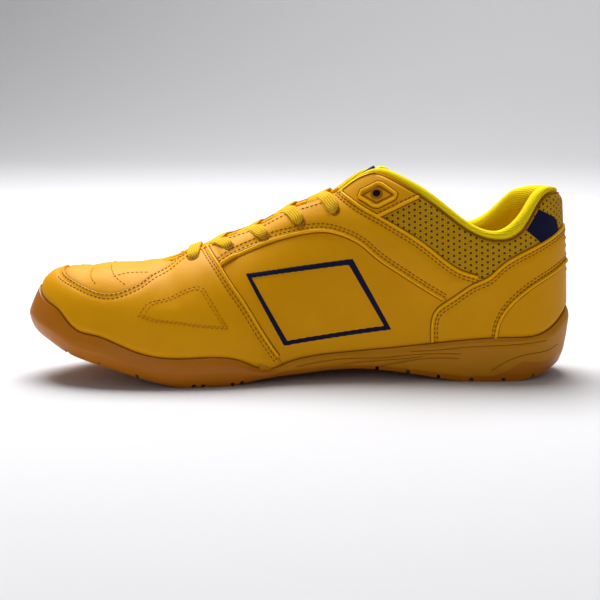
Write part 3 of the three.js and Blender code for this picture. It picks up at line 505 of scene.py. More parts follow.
def knit(name, outside, inside, rib_scale, valley=0.72, deep=0.16):
    """Ribbed cloth on the piece's own UV, in millimetres; `shade` turns it to its inner colour, and the rib valleys are
    painted darker as shade between the ribs.
    """
    material, tree, shader = finish(name, 0.9, Specular_IOR_Level=0.1)
    cloth = tree.nodes.new("ShaderNodeUVMap")
    cloth.uv_map = "cloth"
    ribs = tree.nodes.new("ShaderNodeTexWave")
    ribs.bands_direction = "Y"
    ribs.inputs["Scale"].default_value = rib_scale
    ribs.inputs["Distortion"].default_value = 0.4
    tree.links.new(cloth.outputs["UV"], ribs.inputs["Vector"])
    shade = tree.nodes.new("ShaderNodeAttribute")
    shade.attribute_name = "shade"
    colour = blend_colours(tree, shade.outputs["Fac"], outside, inside)
    # Painted shade: the valleys between the ribs darkened by `valley`.
    low_outside = [valley * part for part in outside[:3]] + [1]
    low_inside = [valley * part for part in inside[:3]] + [1]
    dim = blend_colours(tree, shade.outputs["Fac"], low_outside, low_inside)
    tree.links.new(blend_colours(tree, ribs.outputs["Fac"], dim, colour), shader.inputs["Base Color"])
    bump(tree, shader, ribs.outputs["Fac"], deep, 0.7)
    return material


LINING_YELLOW = (0.9, 0.56, 0.0, 1)
LEMON = (1, 0.74, 0.004, 1)
upper_leather = leather("upper_leather", GOLD, GOLD_DEEP, GOLD_SEAM_SHADE, 900, 0.48)
# A brighter copy of the upper leather for the raised cords: a painted highlight on their lit ridges.
highlit_leather = leather("highlit_leather", (1, 0.5, 0.0, 1), (0.92, 0.43, 0.0, 1), GOLD_SEAM_SHADE, 900, 0.48)
# Dark brown leather: the eyelet rings, and the sunk cords that paint shadow lines along seams and under raised edges.
dark_and_shadow_leather = leather("dark_and_shadow_leather", (0.36, 0.14, 0.0, 1), (0.26, 0.09, 0.0, 1), GOLD_SEAM_SHADE, 900, 0.6)


def new_mesh(name, points, faces, materials, values=None, uv=None, kinds=None):
    """A piece from points in millimetres, its faces turned outwards and its hard folds kept."""
    mesh = bpy.data.meshes.new(name)
    mesh.from_pydata((np.asarray(points, float) * MM).tolist(), [], faces)
    for material in materials:
        mesh.materials.append(material)
    if kinds is not None:
        mesh.polygons.foreach_set("material_index", kinds)
    if uv is not None:
        corner = np.empty(len(mesh.loops), np.int32)
        mesh.loops.foreach_get("vertex_index", corner)
        layer = mesh.uv_layers.new(name="cloth")
        layer.data.foreach_set("uv", np.asarray(uv, np.float32)[corner].ravel())
    for label, numbers in (values or {}).items():
        mesh.attributes.new(label, "FLOAT", "POINT").data.foreach_set("value", numbers.astype(np.float32))
    work = bmesh.new()
    work.from_mesh(mesh)
    bmesh.ops.remove_doubles(work, verts=work.verts, dist=WELD * MM / 4)
    bmesh.ops.recalc_face_normals(work, faces=work.faces)
    work.to_mesh(mesh)
    work.free()
    mesh.shade_smooth()
    mesh.set_sharp_from_angle(angle=SHARP_FOLD)
    made = bpy.data.objects.new(name, mesh)
    bpy.context.scene.collection.objects.link(made)
    return made


def closed_shell(name, sheets, materials):
    """A closed piece from both faces of each sheet's kept cells and their rims; a second material lines it."""
    parts = {key: [] for key in ("outer", "inner", "shade", "uv")}
    cells = []
    start = 0
    for sheet in sheets:
        rows, ranks = sheet["outer"].shape[:2]
        index = start + np.arange(rows * ranks).reshape(rows, ranks)
        corners = (index[:-1, :-1], index[1:, :-1], index[1:, 1:], index[:-1, 1:])
        quads = np.stack(corners, -1)[sheet["kept"]]
        cells.append(quads[:, ::-1] if sheet["side"] > 0 else quads)
        for key, wide in (("outer", 3), ("inner", 3), ("shade", 1), ("uv", 2)):
            parts[key].append(sheet[key].reshape(-1, wide))
        start += rows * ranks
    outer, inner, shade, uv = (np.concatenate(parts[key]) for key in parts)
    key = np.round(outer / WELD).astype(np.int64)
    _, first, index = np.unique(key, axis=0, return_index=True, return_inverse=True)
    quads = index.reshape(-1)[np.concatenate(cells)]
    used, quads = np.unique(quads, return_inverse=True)
    quads = quads.reshape(-1, 4)
    pick = first[used]
    count = len(pick)
    edges = np.concatenate([quads[:, [i, (i + 1) % 4]] for i in range(4)])
    edges = edges[edges[:, 0] != edges[:, 1]]
    rim = edges[~np.isin(edges[:, 0] * count + edges[:, 1], edges[:, 1] * count + edges[:, 0])]
    rims = np.stack([rim[:, 1], rim[:, 0], rim[:, 0] + count, rim[:, 1] + count], -1)
    sides = [(quads, 0), (quads[:, ::-1] + count, len(materials) - 1), (rims, 0)]
    faces = [(list(dict.fromkeys(face)), kind) for group, kind in sides for face in group.tolist()]
    faces = [(face, kind) for face, kind in faces if len(face) > 2]
    return new_mesh(
        name,
        np.concatenate([outer[pick], inner[pick]]),
        [face for face, _ in faces],
        materials,
        {"shade": np.tile(shade[pick, 0], 2)},
        np.tile(uv[pick], (2, 1)),
        [kind for _, kind in faces],
    )


arc_probes = np.linspace(0, 1, 400)
arc_line = column(-1, arc_probes, level_at_height(-1, arc_probes, np.full(400, 60.0)))
arc_reach = np.concatenate([[0], np.cumsum(np.linalg.norm(np.diff(arc_line, axis=0), axis=1))])


def cloth_place(u, z):
    """Millimetres round the shoe from the heel and up it, for patterns."""
    return np.stack([np.broadcast_to(np.interp(u, arc_probes, arc_reach), z.shape), z], -1)


def even_stations(first, final, height, spacing, extras=()):
    """Stations about `spacing` apart, measured along the side at a height."""
    probe = np.linspace(station_of(first), station_of(final), 240)
    run = column(-1, probe, level_at_height(-1, probe, np.full(probe.shape, float(height))))
    reach = np.concatenate([[0], np.cumsum(np.linalg.norm(np.diff(run, axis=0), axis=1))])
    count = max(4, math.ceil(reach[-1] / spacing))
    even = np.interp(np.linspace(0, reach[-1], count + 1), reach, probe)
    for extra in extras:
        even[np.argmin(np.abs(even - station_of(extra)))] = station_of(extra)
    return even


def eyelet_places(side):
    rows = np.arange(EYELET_ROWS)
    u = station_of(FIRST_EYELET - rows * EYELET_PITCH / LENGTH)
    t = edge_level(side, u) - level_share(side, u, EYELET_SETBACK)
    lock = station_of(np.array([LOCK_EYELET]))
    lock_t = edge_level(side, lock) - level_share(side, lock, LOCK_SETBACK)
    return np.concatenate([u, lock]), np.concatenate([t, lock_t])


def off_eyelets(side, points, radius):
    """Cells of a grid of points that keep clear of the eyelets."""
    u, t = eyelet_places(side)
    centres = (points[:-1, :-1] + points[1:, 1:]) / 2
    gaps = np.linalg.norm(centres[..., None, :] - column(side, u, t), axis=-1)
    return gaps.min(-1) > radius


U_SEAM = [
    (1, 57.9), (0.965, 55.7), (0.937, 53.4), (0.905, 51.1), (0.88, 49.1), (0.86, 47.9), (0.84, 47.6),
    (0.82, 48.6), (0.802, 50.4), (0.784, 52.6), (0.767, 55.7), (0.7495, 58.4), (0.73, 61.6),
    (0.7126, 64.8), (0.7, 66.6),
]
plug_seam = cubic(
    np.array([station_of(a) for a, _ in U_SEAM][::-1]), np.array([h for _, h in U_SEAM][::-1]), False
)

EDGE_ROUND = 2.6
EDGE_DROP = 1.1
HEEL_REACH = 0.07


def edge_drop(side, u, t):
    """How far the wall turns in just under the collar, where the roll is sewn to it."""
    gap = (edge_level(side, u) - t) / level_share(side, u, 1)
    at_heel = softly(1 - along_of(u) / HEEL_REACH)
    share = np.clip(1 - gap / (EDGE_ROUND * (1 + at_heel)), 0, 1)
    return -EDGE_DROP * (1 + at_heel) * share**2 * (along_of(u) < THROAT_BEGIN + 0.02)


wall_stations = even_stations(0, 1, 40, WALL_SPACING, [THROAT_END])
WALL_LEVELS = 72
wall_sheets = []
for side in (-1, 1):
    u = wall_stations[:, None]
    t = edge_level(side, wall_stations)[:, None] * np.linspace(0, 1, WALL_LEVELS + 1)
    bare = column(side, u, t)
    over_seam = bare[..., 2] - plug_seam(np.broadcast_to(u, t.shape))
    inside_plug = (along_of(u) > 0.7) * softly(over_seam / 9)
    lift = crease(np.broadcast_to(u, t.shape), bare[..., 2]) + PLUG_PUFF * inside_plug
    lift = lift + edge_drop(side, u, t)
    wall_sheets.append({
        "side": side,
        "outer": lifted(side, u, t, lift),
        "inner": lifted(side, u, t, -UPPER_WALL),
        "kept": off_eyelets(side, bare, EYELET_BORE / 2 + 0.4),
        # Painted shade: the wall darkened along the toe panel's seam.
        "shade": SEAM_SHADE * (along_of(u) > 0.7) * np.exp(-((over_seam / 1.1) ** 2)),
        "uv": cloth_place(u, bare[..., 2]),
    })
wall_lining = knit("wall_lining", LINING_YELLOW, LINING_YELLOW, 0.25)
upper_shell = closed_shell("upper_shell", wall_sheets, [upper_leather, wall_lining])
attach(upper_shell, "root")
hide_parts("upper")

# Leather panels sewn over the wall: the toe panel, the eyestay bands, the lock-eyelet tabs, the heel counter
# and its back stay. Each is cut from a sheet about 1 mm thick, skived thin at its edge and tucked into the
# sole.
OVERLAY_WALL = 1.1
HEM = 0.7
SUNK = 0.8
TUCK = 3.5
FAR = 1e6


def run_through(corners, spacing=0.8):
    """An even, smooth run through corners { along, height }; a corner given twice is sharp."""
    points = np.array([(station_of(a) * SPREAD + (a - np.clip(a, 0, 1)) * SPREAD, h) for a, h in corners])
    pieces = []
    cut = 0
    for i in range(1, len(points) + 1):
        if i == len(points) or np.allclose(points[i], points[i - 1]):
            leg = points[cut:i]
            cut = i
            if len(leg) < 2:
                continue
            reach = np.concatenate([[0], np.cumsum(np.linalg.norm(np.diff(leg, axis=0), axis=1))])
            at = np.linspace(0, reach[-1], max(2, math.ceil(reach[-1] / spacing)) + 1)
            if len(leg) == 2:
                pieces.append(np.stack([np.interp(at, reach, leg[:, k]) for k in (0, 1)], -1))
            else:
                pieces.append(np.stack([cubic(reach, leg[:, k], False)(at) for k in (0, 1)], -1))
    return np.concatenate(pieces)


def on_last(side, run):
    """A run laid on the last, and which of its points lie on it."""
    u = run[:, 0] / SPREAD
    safe = np.clip(u, 0, 1)
    t = level_at_height(side, safe, run[:, 1])
    valid = (u >= -1e-9) & (u <= 1 + 1e-9) & (t < 0.999)
    return safe, t, valid


def distance_to(points, line, linked):
    """How far points lie from a line in space, whose stretches count where `linked` holds."""
    flat = points.reshape(-1, 3)
    used = np.flatnonzero(linked | np.roll(linked, 1))
    if not len(used):
        return np.full(points.shape[:-1], FAR)
    tree = KDTree(len(used))
    for i in used:
        tree.insert(line[i], i)
    tree.balance()
    nearest = np.array([tree.find(p)[1] for p in flat.tolist()])
    gaps = []
    for start in (nearest - 1, nearest):
        start = start % len(line)
        head, step = line[start], line[(start + 1) % len(line)] - line[start]
        share = np.clip(((flat - head) * step).sum(1) / np.maximum((step**2).sum(1), 1e-9), 0, 1)
        gap = np.linalg.norm(flat - head - share[:, None] * step, axis=1)
        gaps.append(np.where(linked[start], gap, FAR))
    return np.minimum(*gaps).reshape(points.shape[:-1])


def inside_run(run, x, y):
    hit = np.zeros(x.shape, bool)
    for (x0, y0), (x1, y1) in zip(run, np.roll(run, -1, axis=0)):
        if y0 != y1:
            crossing = x0 + (y - y0) * (x1 - x0) / (y1 - y0)
            hit ^= ((y0 > y) != (y1 > y)) & (x < crossing)
    return hit


def depth_inside(side, run, u, bare):
    """Distance in from a panel's outline, negative outside it, at points of the last."""
    safe, t, valid = on_last(side, run)
    edge = column(side, safe, t)
    inside = inside_run(run, np.broadcast_to(u * SPREAD, bare.shape[:-1]), bare[..., 2])
    gap = distance_to(bare, edge, valid & np.roll(valid, -1))
    return np.where(inside, gap, -gap)


def panel_sheet(side, corners, wall, base=0.0, puff=0.0, spacing=0.9, troughs=(), cut=None, hem=HEM):
    """A panel's two faces over one side, from its outline's corners { along, height in mm }."""
    run = run_through(corners)
    on = (run[:, 0] >= 0) & (run[:, 0] <= SPREAD)
    first, final = (float(along_of(np.clip(v / SPREAD, 0, 1))) for v in (run[:, 0].min(), run[:, 0].max()))
    margin = 3 / LENGTH
    low, high = run[on, 1].min() - 3, run[on, 1].max() + 3
    stations = even_stations(max(0, first - margin), min(1, final + margin), (low + high) / 2, spacing)
    from_t = level_at_height(side, stations, np.maximum(low, lip_height(stations) - 2.5))
    to_t = np.minimum(level_at_height(side, stations, np.full(stations.shape, high)), edge_level(side, stations))
    rows = math.ceil(1.25 * min(high - low, INSTEP_RISE) / spacing)
    u = stations[:, None]
    t = from_t[:, None] + np.maximum(0, to_t - from_t)[:, None] * np.linspace(0, 1, rows + 1)
    bare = column(side, u, t)
    wide_u = np.broadcast_to(u, t.shape)
    depth = depth_inside(side, run, u, bare)
    if cut is not None:
        depth = np.minimum(depth, -depth_inside(side, run_through(cut), u, bare))
    rise = softly((depth + hem) / (2 * hem))
    tuck = softly((bare[..., 2] - lip_height(wide_u) + 0.5) / TUCK)
    full = base + wall + puff * softly(depth / 9)
    for centre, wide, deep in troughs:
        full = full - deep * np.exp(-(((depth - centre) / wide) ** 2))
    lift = (base - SUNK) + (full * (0.12 + 0.88 * tuck) - (base - SUNK)) * rise
    follow = crease(wide_u, bare[..., 2]) + edge_drop(side, u, t)
    lift = lift + follow
    near = depth > -hem - 1.2 * spacing
    kept = near[:-1, :-1] | near[1:, :-1] | near[1:, 1:] | near[:-1, 1:]
    kept &= off_eyelets(side, bare, EYELET_BORE / 2 + 0.4)
    return {
        "side": side,
        "outer": lifted(side, u, t, lift),
        "inner": lifted(side, u, t, base - SUNK - 0.35 + follow),
        "kept": kept,
        # Painted shade: the leather darkened along the panel's edge.
        "shade": SEAM_SHADE * np.exp(-((np.maximum(0, depth - 0.2) / 1.0) ** 2)) * (depth > -hem),
        "uv": cloth_place(wide_u, bare[..., 2]),
    }


def panel(name, node, sides, material, corners, wall, slot="leather", **shape):
    sheets = [panel_sheet(side, corners, wall, **shape) for side in sides]
    made = closed_shell(name, sheets, [material])
    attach(made, "root")
    if node:
        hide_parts(node)
    return made


THROAT_FRONT_LINE = [(0.67, 68.8), (0.6466, 61.4), (0.625, 52.8), (0.5967, 41.3), (0.5664, 27.1), (0.5373, 14.6)]
BAND_LOWER = [
    (0.6413, 61.4), (0.6113, 66.2), (0.583, 69.6), (0.538, 74.4), (0.4933, 77.6), (0.448, 78.4),
    (0.4176, 76.2), (0.389, 72.1), (0.364, 66), (0.3337, 59.9), (0.3033, 54.3), (0.2748, 49.2),
    (0.2444, 44.1), (0.2319, 42.6),
]
BAND_UPPER = [
    (0.1641, 54.9), (0.19, 56.3), (0.2161, 58.9), (0.25, 65.6), (0.2888, 74), (0.3297, 81), (0.36, 85.9),
    (0.392, 90.9), (0.411, 94.7), (0.4268, 98),
]
TAB_REAR = [(0.36, 85.9), (0.3202, 91.7), (0.2858, 96.6)]
COUNTER_LINE = [
    (0.2616, 20), (0.2619, 29.8), (0.2567, 36.2), (0.2319, 42.6), (0.1857, 51.7), (0.1587, 55.4),
    (0.1405, 60.1), (0.1106, 65.7), (0.0771, 70), (0.0403, 74.4), (0.0152, 77.7), (0, 79.7),
]
BACK_LINE = [
    (0.1482, 22), (0.1432, 31.2), (0.1342, 36.5), (0.1102, 44.2), (0.0728, 51.6), (0.0382, 56.4),
    (0.0068, 60.5), (0, 61),
]
PATCH_LINE = [
    (0.789, 36.5), (0.789, 36.5), (0.777, 41.5), (0.745, 44.5), (0.71, 48.5), (0.681, 51), (0.681, 51),
    (0.6689, 50), (0.6689, 50), (0.645, 39.5), (0.6243, 30), (0.6243, 30), (0.67, 31), (0.718, 33),
    (0.76, 34), (0.789, 36.5),
]
BELOW = 2
toe_outline = (
    [(1.05, BELOW), (1.05, BELOW), (0.5245, BELOW), (0.5245, BELOW), (0.5245, 8), *THROAT_FRONT_LINE[::-1]]
    + [(0.67, 68.8), (0.671, 90), (0.671, 90), (0.7, 90), (0.7, 90), (0.7, 66.6), (0.7, 66.6)]
    + [*U_SEAM[::-1][1:], (1, 57.9), (1.05, 57.9), (1.05, 57.9)]
)
band_outline = (
    [*THROAT_FRONT_LINE[:2], THROAT_FRONT_LINE[1], *BAND_LOWER, (0.2319, 42.6), (0.2, 44), (0.155, 50)]
    + [(0.155, 50), BAND_UPPER[0], BAND_UPPER[0], *BAND_UPPER[1:], (0.4268, 98), (0.44, 125), (0.44, 125)]
    + [(0.66, 125), (0.66, 125), (0.67, 68.8)]
)
tab_outline = (
    [(0.43, 100), (0.411, 94), (0.392, 90.2), (0.36, 85.2), (0.36, 85.2), *TAB_REAR[1:], (0.278, 98)]
    + [(0.26, 130), (0.26, 130), (0.44, 130), (0.44, 130), (0.43, 100)]
)
counter_outline = [*COUNTER_LINE, (0, 79.7), (-0.05, 79.7), (-0.05, 79.7), (-0.05, 5), (-0.05, 5), (0.2616, 5), (0.2616, 5)]
back_outline = [*BACK_LINE, (0, 61), (-0.05, 61), (-0.05, 61), (-0.05, 5), (-0.05, 5), (0.15, 5), (0.15, 5)]
DOUBLE_ROW = ((2.9, 1.6, 0.3),)
toe_panel = panel(
    "toe_panel_leather", "toe_panel", (-1, 1), upper_leather, toe_outline, OVERLAY_WALL,
    puff=0.5, troughs=DOUBLE_ROW,
)
bands = {
    side: panel(
        f"eyestay_band_{word}", f"eyestay_{word}", (side,), upper_leather, band_outline, OVERLAY_WALL,
        puff=0.7, troughs=DOUBLE_ROW, spacing=0.85, cut=counter_outline,
    )
    for side, word in ((-1, "medial"), (1, "lateral"))
}
counter_leather = panel(
    "counter_leather", "heel_counter", (-1, 1), upper_leather, counter_outline, OVERLAY_WALL,
    puff=0.3, troughs=DOUBLE_ROW,
)
tabs = panel("lock_eyelet_tabs", None, (-1, 1), upper_leather, tab_outline, 0.8, puff=0.2, spacing=0.8)
back_stay = panel("back_stay", None, (-1, 1), upper_leather, back_outline, 0.45, base=OVERLAY_WALL, puff=0.2)
reinforcement = panel(
    "toe_reinforcement", None, (-1, 1), upper_leather, PATCH_LINE, 0.3, base=OVERLAY_WALL + 0.3, puff=0.35,
    spacing=0.8, hem=0.5,
)

# The textile parts of the quarter: the knitted mesh window between band, counter and collar, which runs on
# over the heel tab, and a plain navy patch on the tab. Thin cloth glued to the wall, its edges under the
# leather.
MESH_WALL = 0.25
PATCH_WALL = 0.4
OLIVE = (0.3, 0.15, 0.008, 1)
# Painted shadow inside the mesh's holes.
PERFORATION_SHADOW = (0.045, 0.022, 0.008, 1)
NAVY = (0.003, 0.004, 0.03, 1)
DOT_PITCH = 5.8
DOT_ROWS = 1.55
DOT_SIZE = 0.5


def wave_of(tree, value, pitch, shift=0.0):
    """0 to 1 to 0 over each pitch."""
    turned = math_node(tree, "MULTIPLY_ADD", value, 2 * math.pi / pitch, shift)
    return math_node(tree, "MULTIPLY_ADD", math_node(tree, "COSINE", turned), 0.5, 0.5)


def mesh_cloth():
    """Knitted columns with rows of dark dots, staggered like a honeycomb; the dots are painted shadow in the mesh's
    holes, and the colour darkens between the loops as painted shade. Reads millimetres in the UV.
    """
    material, tree, shader = finish("knitted_mesh", 0.8, Specular_IOR_Level=0.12)
    cloth = tree.nodes.new("ShaderNodeUVMap")
    cloth.uv_map = "cloth"
    axes = tree.nodes.new("ShaderNodeSeparateXYZ")
    tree.links.new(cloth.outputs["UV"], axes.inputs[0])
    across, up = axes.outputs[0], axes.outputs[1]
    dots = None
    for shift in (0.0, math.pi):
        half = shift / (2 * math.pi)
        x = math_node(tree, "PINGPONG", math_node(tree, "MULTIPLY_ADD", across, 1 / DOT_PITCH, half), 0.5)
        y = math_node(tree, "PINGPONG", math_node(tree, "MULTIPLY_ADD", up, 0.5 / DOT_ROWS, half), 0.5)
        x = math_node(tree, "MULTIPLY", x, DOT_PITCH)
        y = math_node(tree, "MULTIPLY", y, 2 * DOT_ROWS)
        gap = math_node(tree, "SQRT", math_node(tree, "MULTIPLY_ADD", x, x, math_node(tree, "MULTIPLY", y, y)))
        near = math_node(tree, "SUBTRACT", DOT_SIZE + 0.25, gap)
        near = math_node(tree, "MULTIPLY", near, 3.0)
        near = math_node(tree, "MINIMUM", math_node(tree, "MAXIMUM", near, 0.0), 1.0)
        dots = near if dots is None else math_node(tree, "MAXIMUM", dots, near)
    columns_of = wave_of(tree, across, DOT_PITCH / 6)
    loops = math_node(tree, "MULTIPLY", columns_of, wave_of(tree, up, 0.9))
    # Painted shade: the colour darkens where the loops sink.
    lit = blend_colours(tree, math_node(tree, "MULTIPLY", loops, 0.6), (0.5, 0.25, 0.006, 1), (1, 0.58, 0.004, 1))
    tree.links.new(blend_colours(tree, dots, lit, PERFORATION_SHADOW), shader.inputs["Base Color"])
    height = math_node(tree, "SUBTRACT", loops, math_node(tree, "MULTIPLY", dots, 1.6))
    bump(tree, shader, height, 0.25, 0.6)
    return material


def twill(name, colour, pitch=0.9):
    material, tree, shader = finish(name, 0.85, Base_Color=colour, Specular_IOR_Level=0.2)
    cloth = tree.nodes.new("ShaderNodeUVMap")
    cloth.uv_map = "cloth"
    ribs = tree.nodes.new("ShaderNodeTexWave")
    ribs.bands_direction = "DIAGONAL"
    ribs.inputs["Scale"].default_value = 0.3 / pitch
    tree.links.new(cloth.outputs["UV"], ribs.inputs["Vector"])
    bump(tree, shader, ribs.outputs["Fac"], 0.1, 0.5)
    return material


mesh_outline = [
    (-0.05, 66), (-0.05, 66), (0.04, 68), (0.1, 60), (0.15, 50), (0.15, 50), (0.2, 52), (0.24, 59),
    (0.29, 70), (0.34, 79), (0.38, 88), (0.38, 88), (0.345, 92), (0.32, 97), (0.32, 97), (0.3, 130),
    (0.3, 130), (-0.05, 130), (-0.05, 130), (-0.05, 66),
]
HEEL_PATCH = [
    (0.063, 90.6), (0.063, 90.6), (0.0368, 86.9), (0.0226, 83.3), (0.0179, 78.3), (0.0179, 78.3),
    (0.056, 71.7), (0.056, 71.7), (0.0908, 79.5), (0.0908, 79.5), (0.063, 90.6),
]
mesh_quarter = panel(
    "mesh_quarter", None, (-1, 1), mesh_cloth(), mesh_outline, MESH_WALL, spacing=1.2, hem=0.4
)
navy_twill = twill("navy_twill", NAVY)
heel_patch = panel(
    "heel_patch", None, (-1, 1), navy_twill, HEEL_PATCH, PATCH_WALL, base=MESH_WALL, spacing=0.8, hem=0.4
)

# A plain slanted navy frame on each quarter: a bonded film ribbon about half a millimetre thick, with sharp
# corners.
def straight_edged(*corners):
    """An outline whose corners are all sharp."""
    return [corner for each in (*corners, corners[0]) for corner in (each, each)][1:-1]


FRAME_OUTER = straight_edged((0.597, 57.5), (0.405, 64.5), (0.335, 27.5), (0.527, 20))
FRAME_INNER = straight_edged((0.585, 55.4), (0.412, 61.2), (0.349, 29.6), (0.521, 22.8))
film, _, _ = finish("navy_film", 0.75, Base_Color=NAVY, Specular_IOR_Level=0.2)
side_frame = panel(
    "side_frame", None, (-1, 1), film, FRAME_OUTER, 0.45, spacing=0.7, cut=FRAME_INNER, hem=0.35
)

# Raised edges: round cords sewn under the folded edges of band, toe panel, counter and back stay, the frames
# round the lock eyelets, and the rolled edge of the throat.
CORD_RADIUS = 0.85
CLEAR = 8.0


def new_tree(name, **inputs):
    tree = bpy.data.node_groups.new(name, "GeometryNodeTree")
    tree.interface.new_socket("Geometry", in_out="INPUT", socket_type="NodeSocketGeometry")
    for label, kind in inputs.items():
        tree.interface.new_socket(label, in_out="INPUT", socket_type=f"NodeSocket{kind}")
    tree.interface.new_socket("Geometry", in_out="OUTPUT", socket_type="NodeSocketGeometry")
    return tree, tree.nodes.new("NodeGroupInput"), tree.nodes.new("NodeGroupOutput")


def finish_tree(tree, start, end, grown_parts):
    realize = tree.nodes.new("GeometryNodeRealizeInstances")
    paint = tree.nodes.new("GeometryNodeSetMaterial")
    tree.links.new(grown_parts, realize.inputs[0])
    tree.links.new(realize.outputs[0], paint.inputs["Geometry"])
    tree.links.new(start.outputs["Material"], paint.inputs["Material"])
    tree.links.new(paint.outputs[0], end.inputs[0])


def grow(name, source, tree, **values):
    """What a tree makes of a source, as a plain mesh that rides on the shoe."""
    modifier = source.modifiers.new("grow", "NODES")
    modifier.node_group = tree
    for item in tree.interface.items_tree:
        if item.item_type == "SOCKET" and item.in_out == "INPUT" and item.name in values:
            modifier[item.identifier] = values[item.name]
    graph = bpy.context.evaluated_depsgraph_get()
    mesh = bpy.data.meshes.new_from_object(source.evaluated_get(graph), depsgraph=graph)
    source.modifiers.remove(modifier)
    bpy.data.objects.remove(source)
    mesh.shade_smooth()
    made = bpy.data.objects.new(name, mesh)
    bpy.context.scene.collection.objects.link(made)
    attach(made, "root")
    return made


def align(tree, start_rotation, vector, axis, pivot="AUTO"):
    node = tree.nodes.new("FunctionNodeAlignRotationToVector")
    node.axis = axis
    node.pivot_axis = pivot
    if start_rotation is not None:
        tree.links.new(start_rotation, node.inputs["Rotation"])
    tree.links.new(vector, node.inputs["Vector"])
    return node.outputs["Rotation"]


def named_vector(tree, name):
    node = tree.nodes.new("GeometryNodeInputNamedAttribute")
    node.data_type = "FLOAT_VECTOR"
    node.inputs["Name"].default_value = name
    return node.outputs["Attribute"]


def cord_tree():
    """A round cord along each line of the source."""
    tree, start, end = new_tree("cording", Radius="Float", Material="Material")
    line = tree.nodes.new("GeometryNodeMeshToCurve")
    circle = tree.nodes.new("GeometryNodeCurvePrimitiveCircle")
    circle.inputs["Resolution"].default_value = 8
    sweep = tree.nodes.new("GeometryNodeCurveToMesh")
    sweep.inputs["Fill Caps"].default_value = True
    tree.links.new(start.outputs["Geometry"], line.inputs["Mesh"])
    tree.links.new(start.outputs["Radius"], circle.inputs["Radius"])
    tree.links.new(line.outputs[0], sweep.inputs["Curve"])
    tree.links.new(circle.outputs[0], sweep.inputs["Profile Curve"])
    finish_tree(tree, start, end, sweep.outputs[0])
    return tree


def line_object(lines):
    """Lines of { points, facings } as a mesh of edges with a `facing` on each point."""
    points = np.concatenate([p for p, _ in lines]) * MM
    facings = np.concatenate([f for _, f in lines])
    edges = []
    start = 0
    for p, _ in lines:
        edges += [(start + i, start + i + 1) for i in range(len(p) - 1)]
        start += len(p)
    mesh = bpy.data.meshes.new("lines")
    mesh.from_pydata(points.tolist(), edges, [])
    mesh.attributes.new("facing", "FLOAT_VECTOR", "POINT").data.foreach_set("vector", facings.ravel())
    made = bpy.data.objects.new("lines", mesh)
    bpy.context.scene.collection.objects.link(made)
    return made


def skin_of(pieces):
    """One search tree, in millimetres, over the faces of several pieces."""
    corners, faces = [], []
    for item in pieces:
        start = len(corners)
        corners += [v.co / MM for v in item.data.vertices]
        faces += [[start + i for i in p.vertices] for p in item.data.polygons]
    return BVHTree.FromPolygons(corners, faces)


skin = skin_of([
    upper_shell, toe_panel, *bands.values(), counter_leather, tabs, back_stay, reinforcement, mesh_quarter
])


def settle(points, facings, lift):
    """Points moved along their facings onto the outermost face there, then lifted off it."""
    settled = []
    for point, facing in zip(points, facings):
        origin = Vector(point + CLEAR * facing)
        hit = skin.ray_cast(origin, Vector(-facing), 2 * CLEAR)[0]
        settled.append(np.array(hit if hit is not None else point) + lift * facing)
    return np.array(settled)


def row_on(side, corners, inset=0.0, lift=0.0):
    """A line on the finished skin along corners { along, height }, moved aside by an inset."""
    run = run_through(corners)
    keep = np.concatenate([[True], np.linalg.norm(np.diff(run, axis=0), axis=1) > 1e-6])
    run = run[keep]
    ahead = unit(np.gradient(run, axis=0))
    run = run + inset * np.stack([-ahead[:, 1], ahead[:, 0]], -1)
    u, t, valid = on_last(side, run)
    u, t = u[valid], np.minimum(t[valid], edge_level(side, u[valid]))
    facings = normal(side, u, t)
    return settle(column(side, u, t), facings, lift), facings


def under_roll(side):
    """The seam between the collar's roll and the cloth under it, along which a dark cord paints the shadow under the
    roll.
    """
    u = station_of(np.linspace(0.0005, 0.42, 160))
    t = edge_level(side, u) - level_share(side, u, 0.3)
    facings = normal(side, u, t)
    return settle(column(side, u, t), facings, 0.05), facings


LOCK_OUTER = straight_edged(
    (0.392, 95.4), (0.388, 98.4), (0.359, 102.5), (0.35, 102), (0.3255, 97.5), (0.3285, 95.4), (0.359, 91), (0.368, 91.3)
)
LOCK_INNER = straight_edged((0.386, 96.5), (0.3565, 100.9), (0.332, 96.9), (0.362, 92.7))
LINES = {
    "band_lower": [(0.6466, 60.5), *BAND_LOWER[1:-2], (0.2435, 43.9)],
    "band_upper": [(0.181, 55.6), *BAND_UPPER[1:]],
    "toe_rear": THROAT_FRONT_LINE,
    "counter": [(0.2615, 21.2), *COUNTER_LINE[1:]],
    "back": [(0.1481, 22.8), *BACK_LINE[1:]],
    "tab": TAB_REAR,
}
SIDES = (-1, 1)
cord_lines = [row_on(side, line, 0, 0.3) for side in SIDES for line in LINES.values()]
cord_lines += [row_on(side, LOCK_OUTER, 0, 0.1) for side in SIDES]
edge_stations = station_of(np.linspace(0.375, THROAT_END, 110))
throat = []
for side, order in ((-1, slice(None)), (1, slice(None, None, -1))):
    u = edge_stations[order]
    t = np.minimum(edge_level(side, u), 0.9995)
    facings = normal(side, u, t)
    sink = 0.2 + 0.9 * softly((along_of(u) - 0.7) / 0.04)
    throat.append((column(side, u, t) - sink[:, None] * facings, facings))
throat_line = tuple(np.concatenate(pair) for pair in zip(*throat))
cording = cord_tree()
# The cords take the brighter leather: a painted highlight along their ridges.
edge_cords = grow("edge_cords", line_object(cord_lines), cording, Radius=CORD_RADIUS * MM, Material=highlit_leather)
throat_edge = grow(
    "throat_edge", line_object([throat_line]), cording, Radius=1.35 * MM, Material=highlit_leather
)
OUTSIDE = {"band_lower": 1, "band_upper": 1, "toe_rear": -1, "counter": -1, "back": 1, "tab": 1}
U_LINE = [(a, h) for a, h in U_SEAM if a < 1]
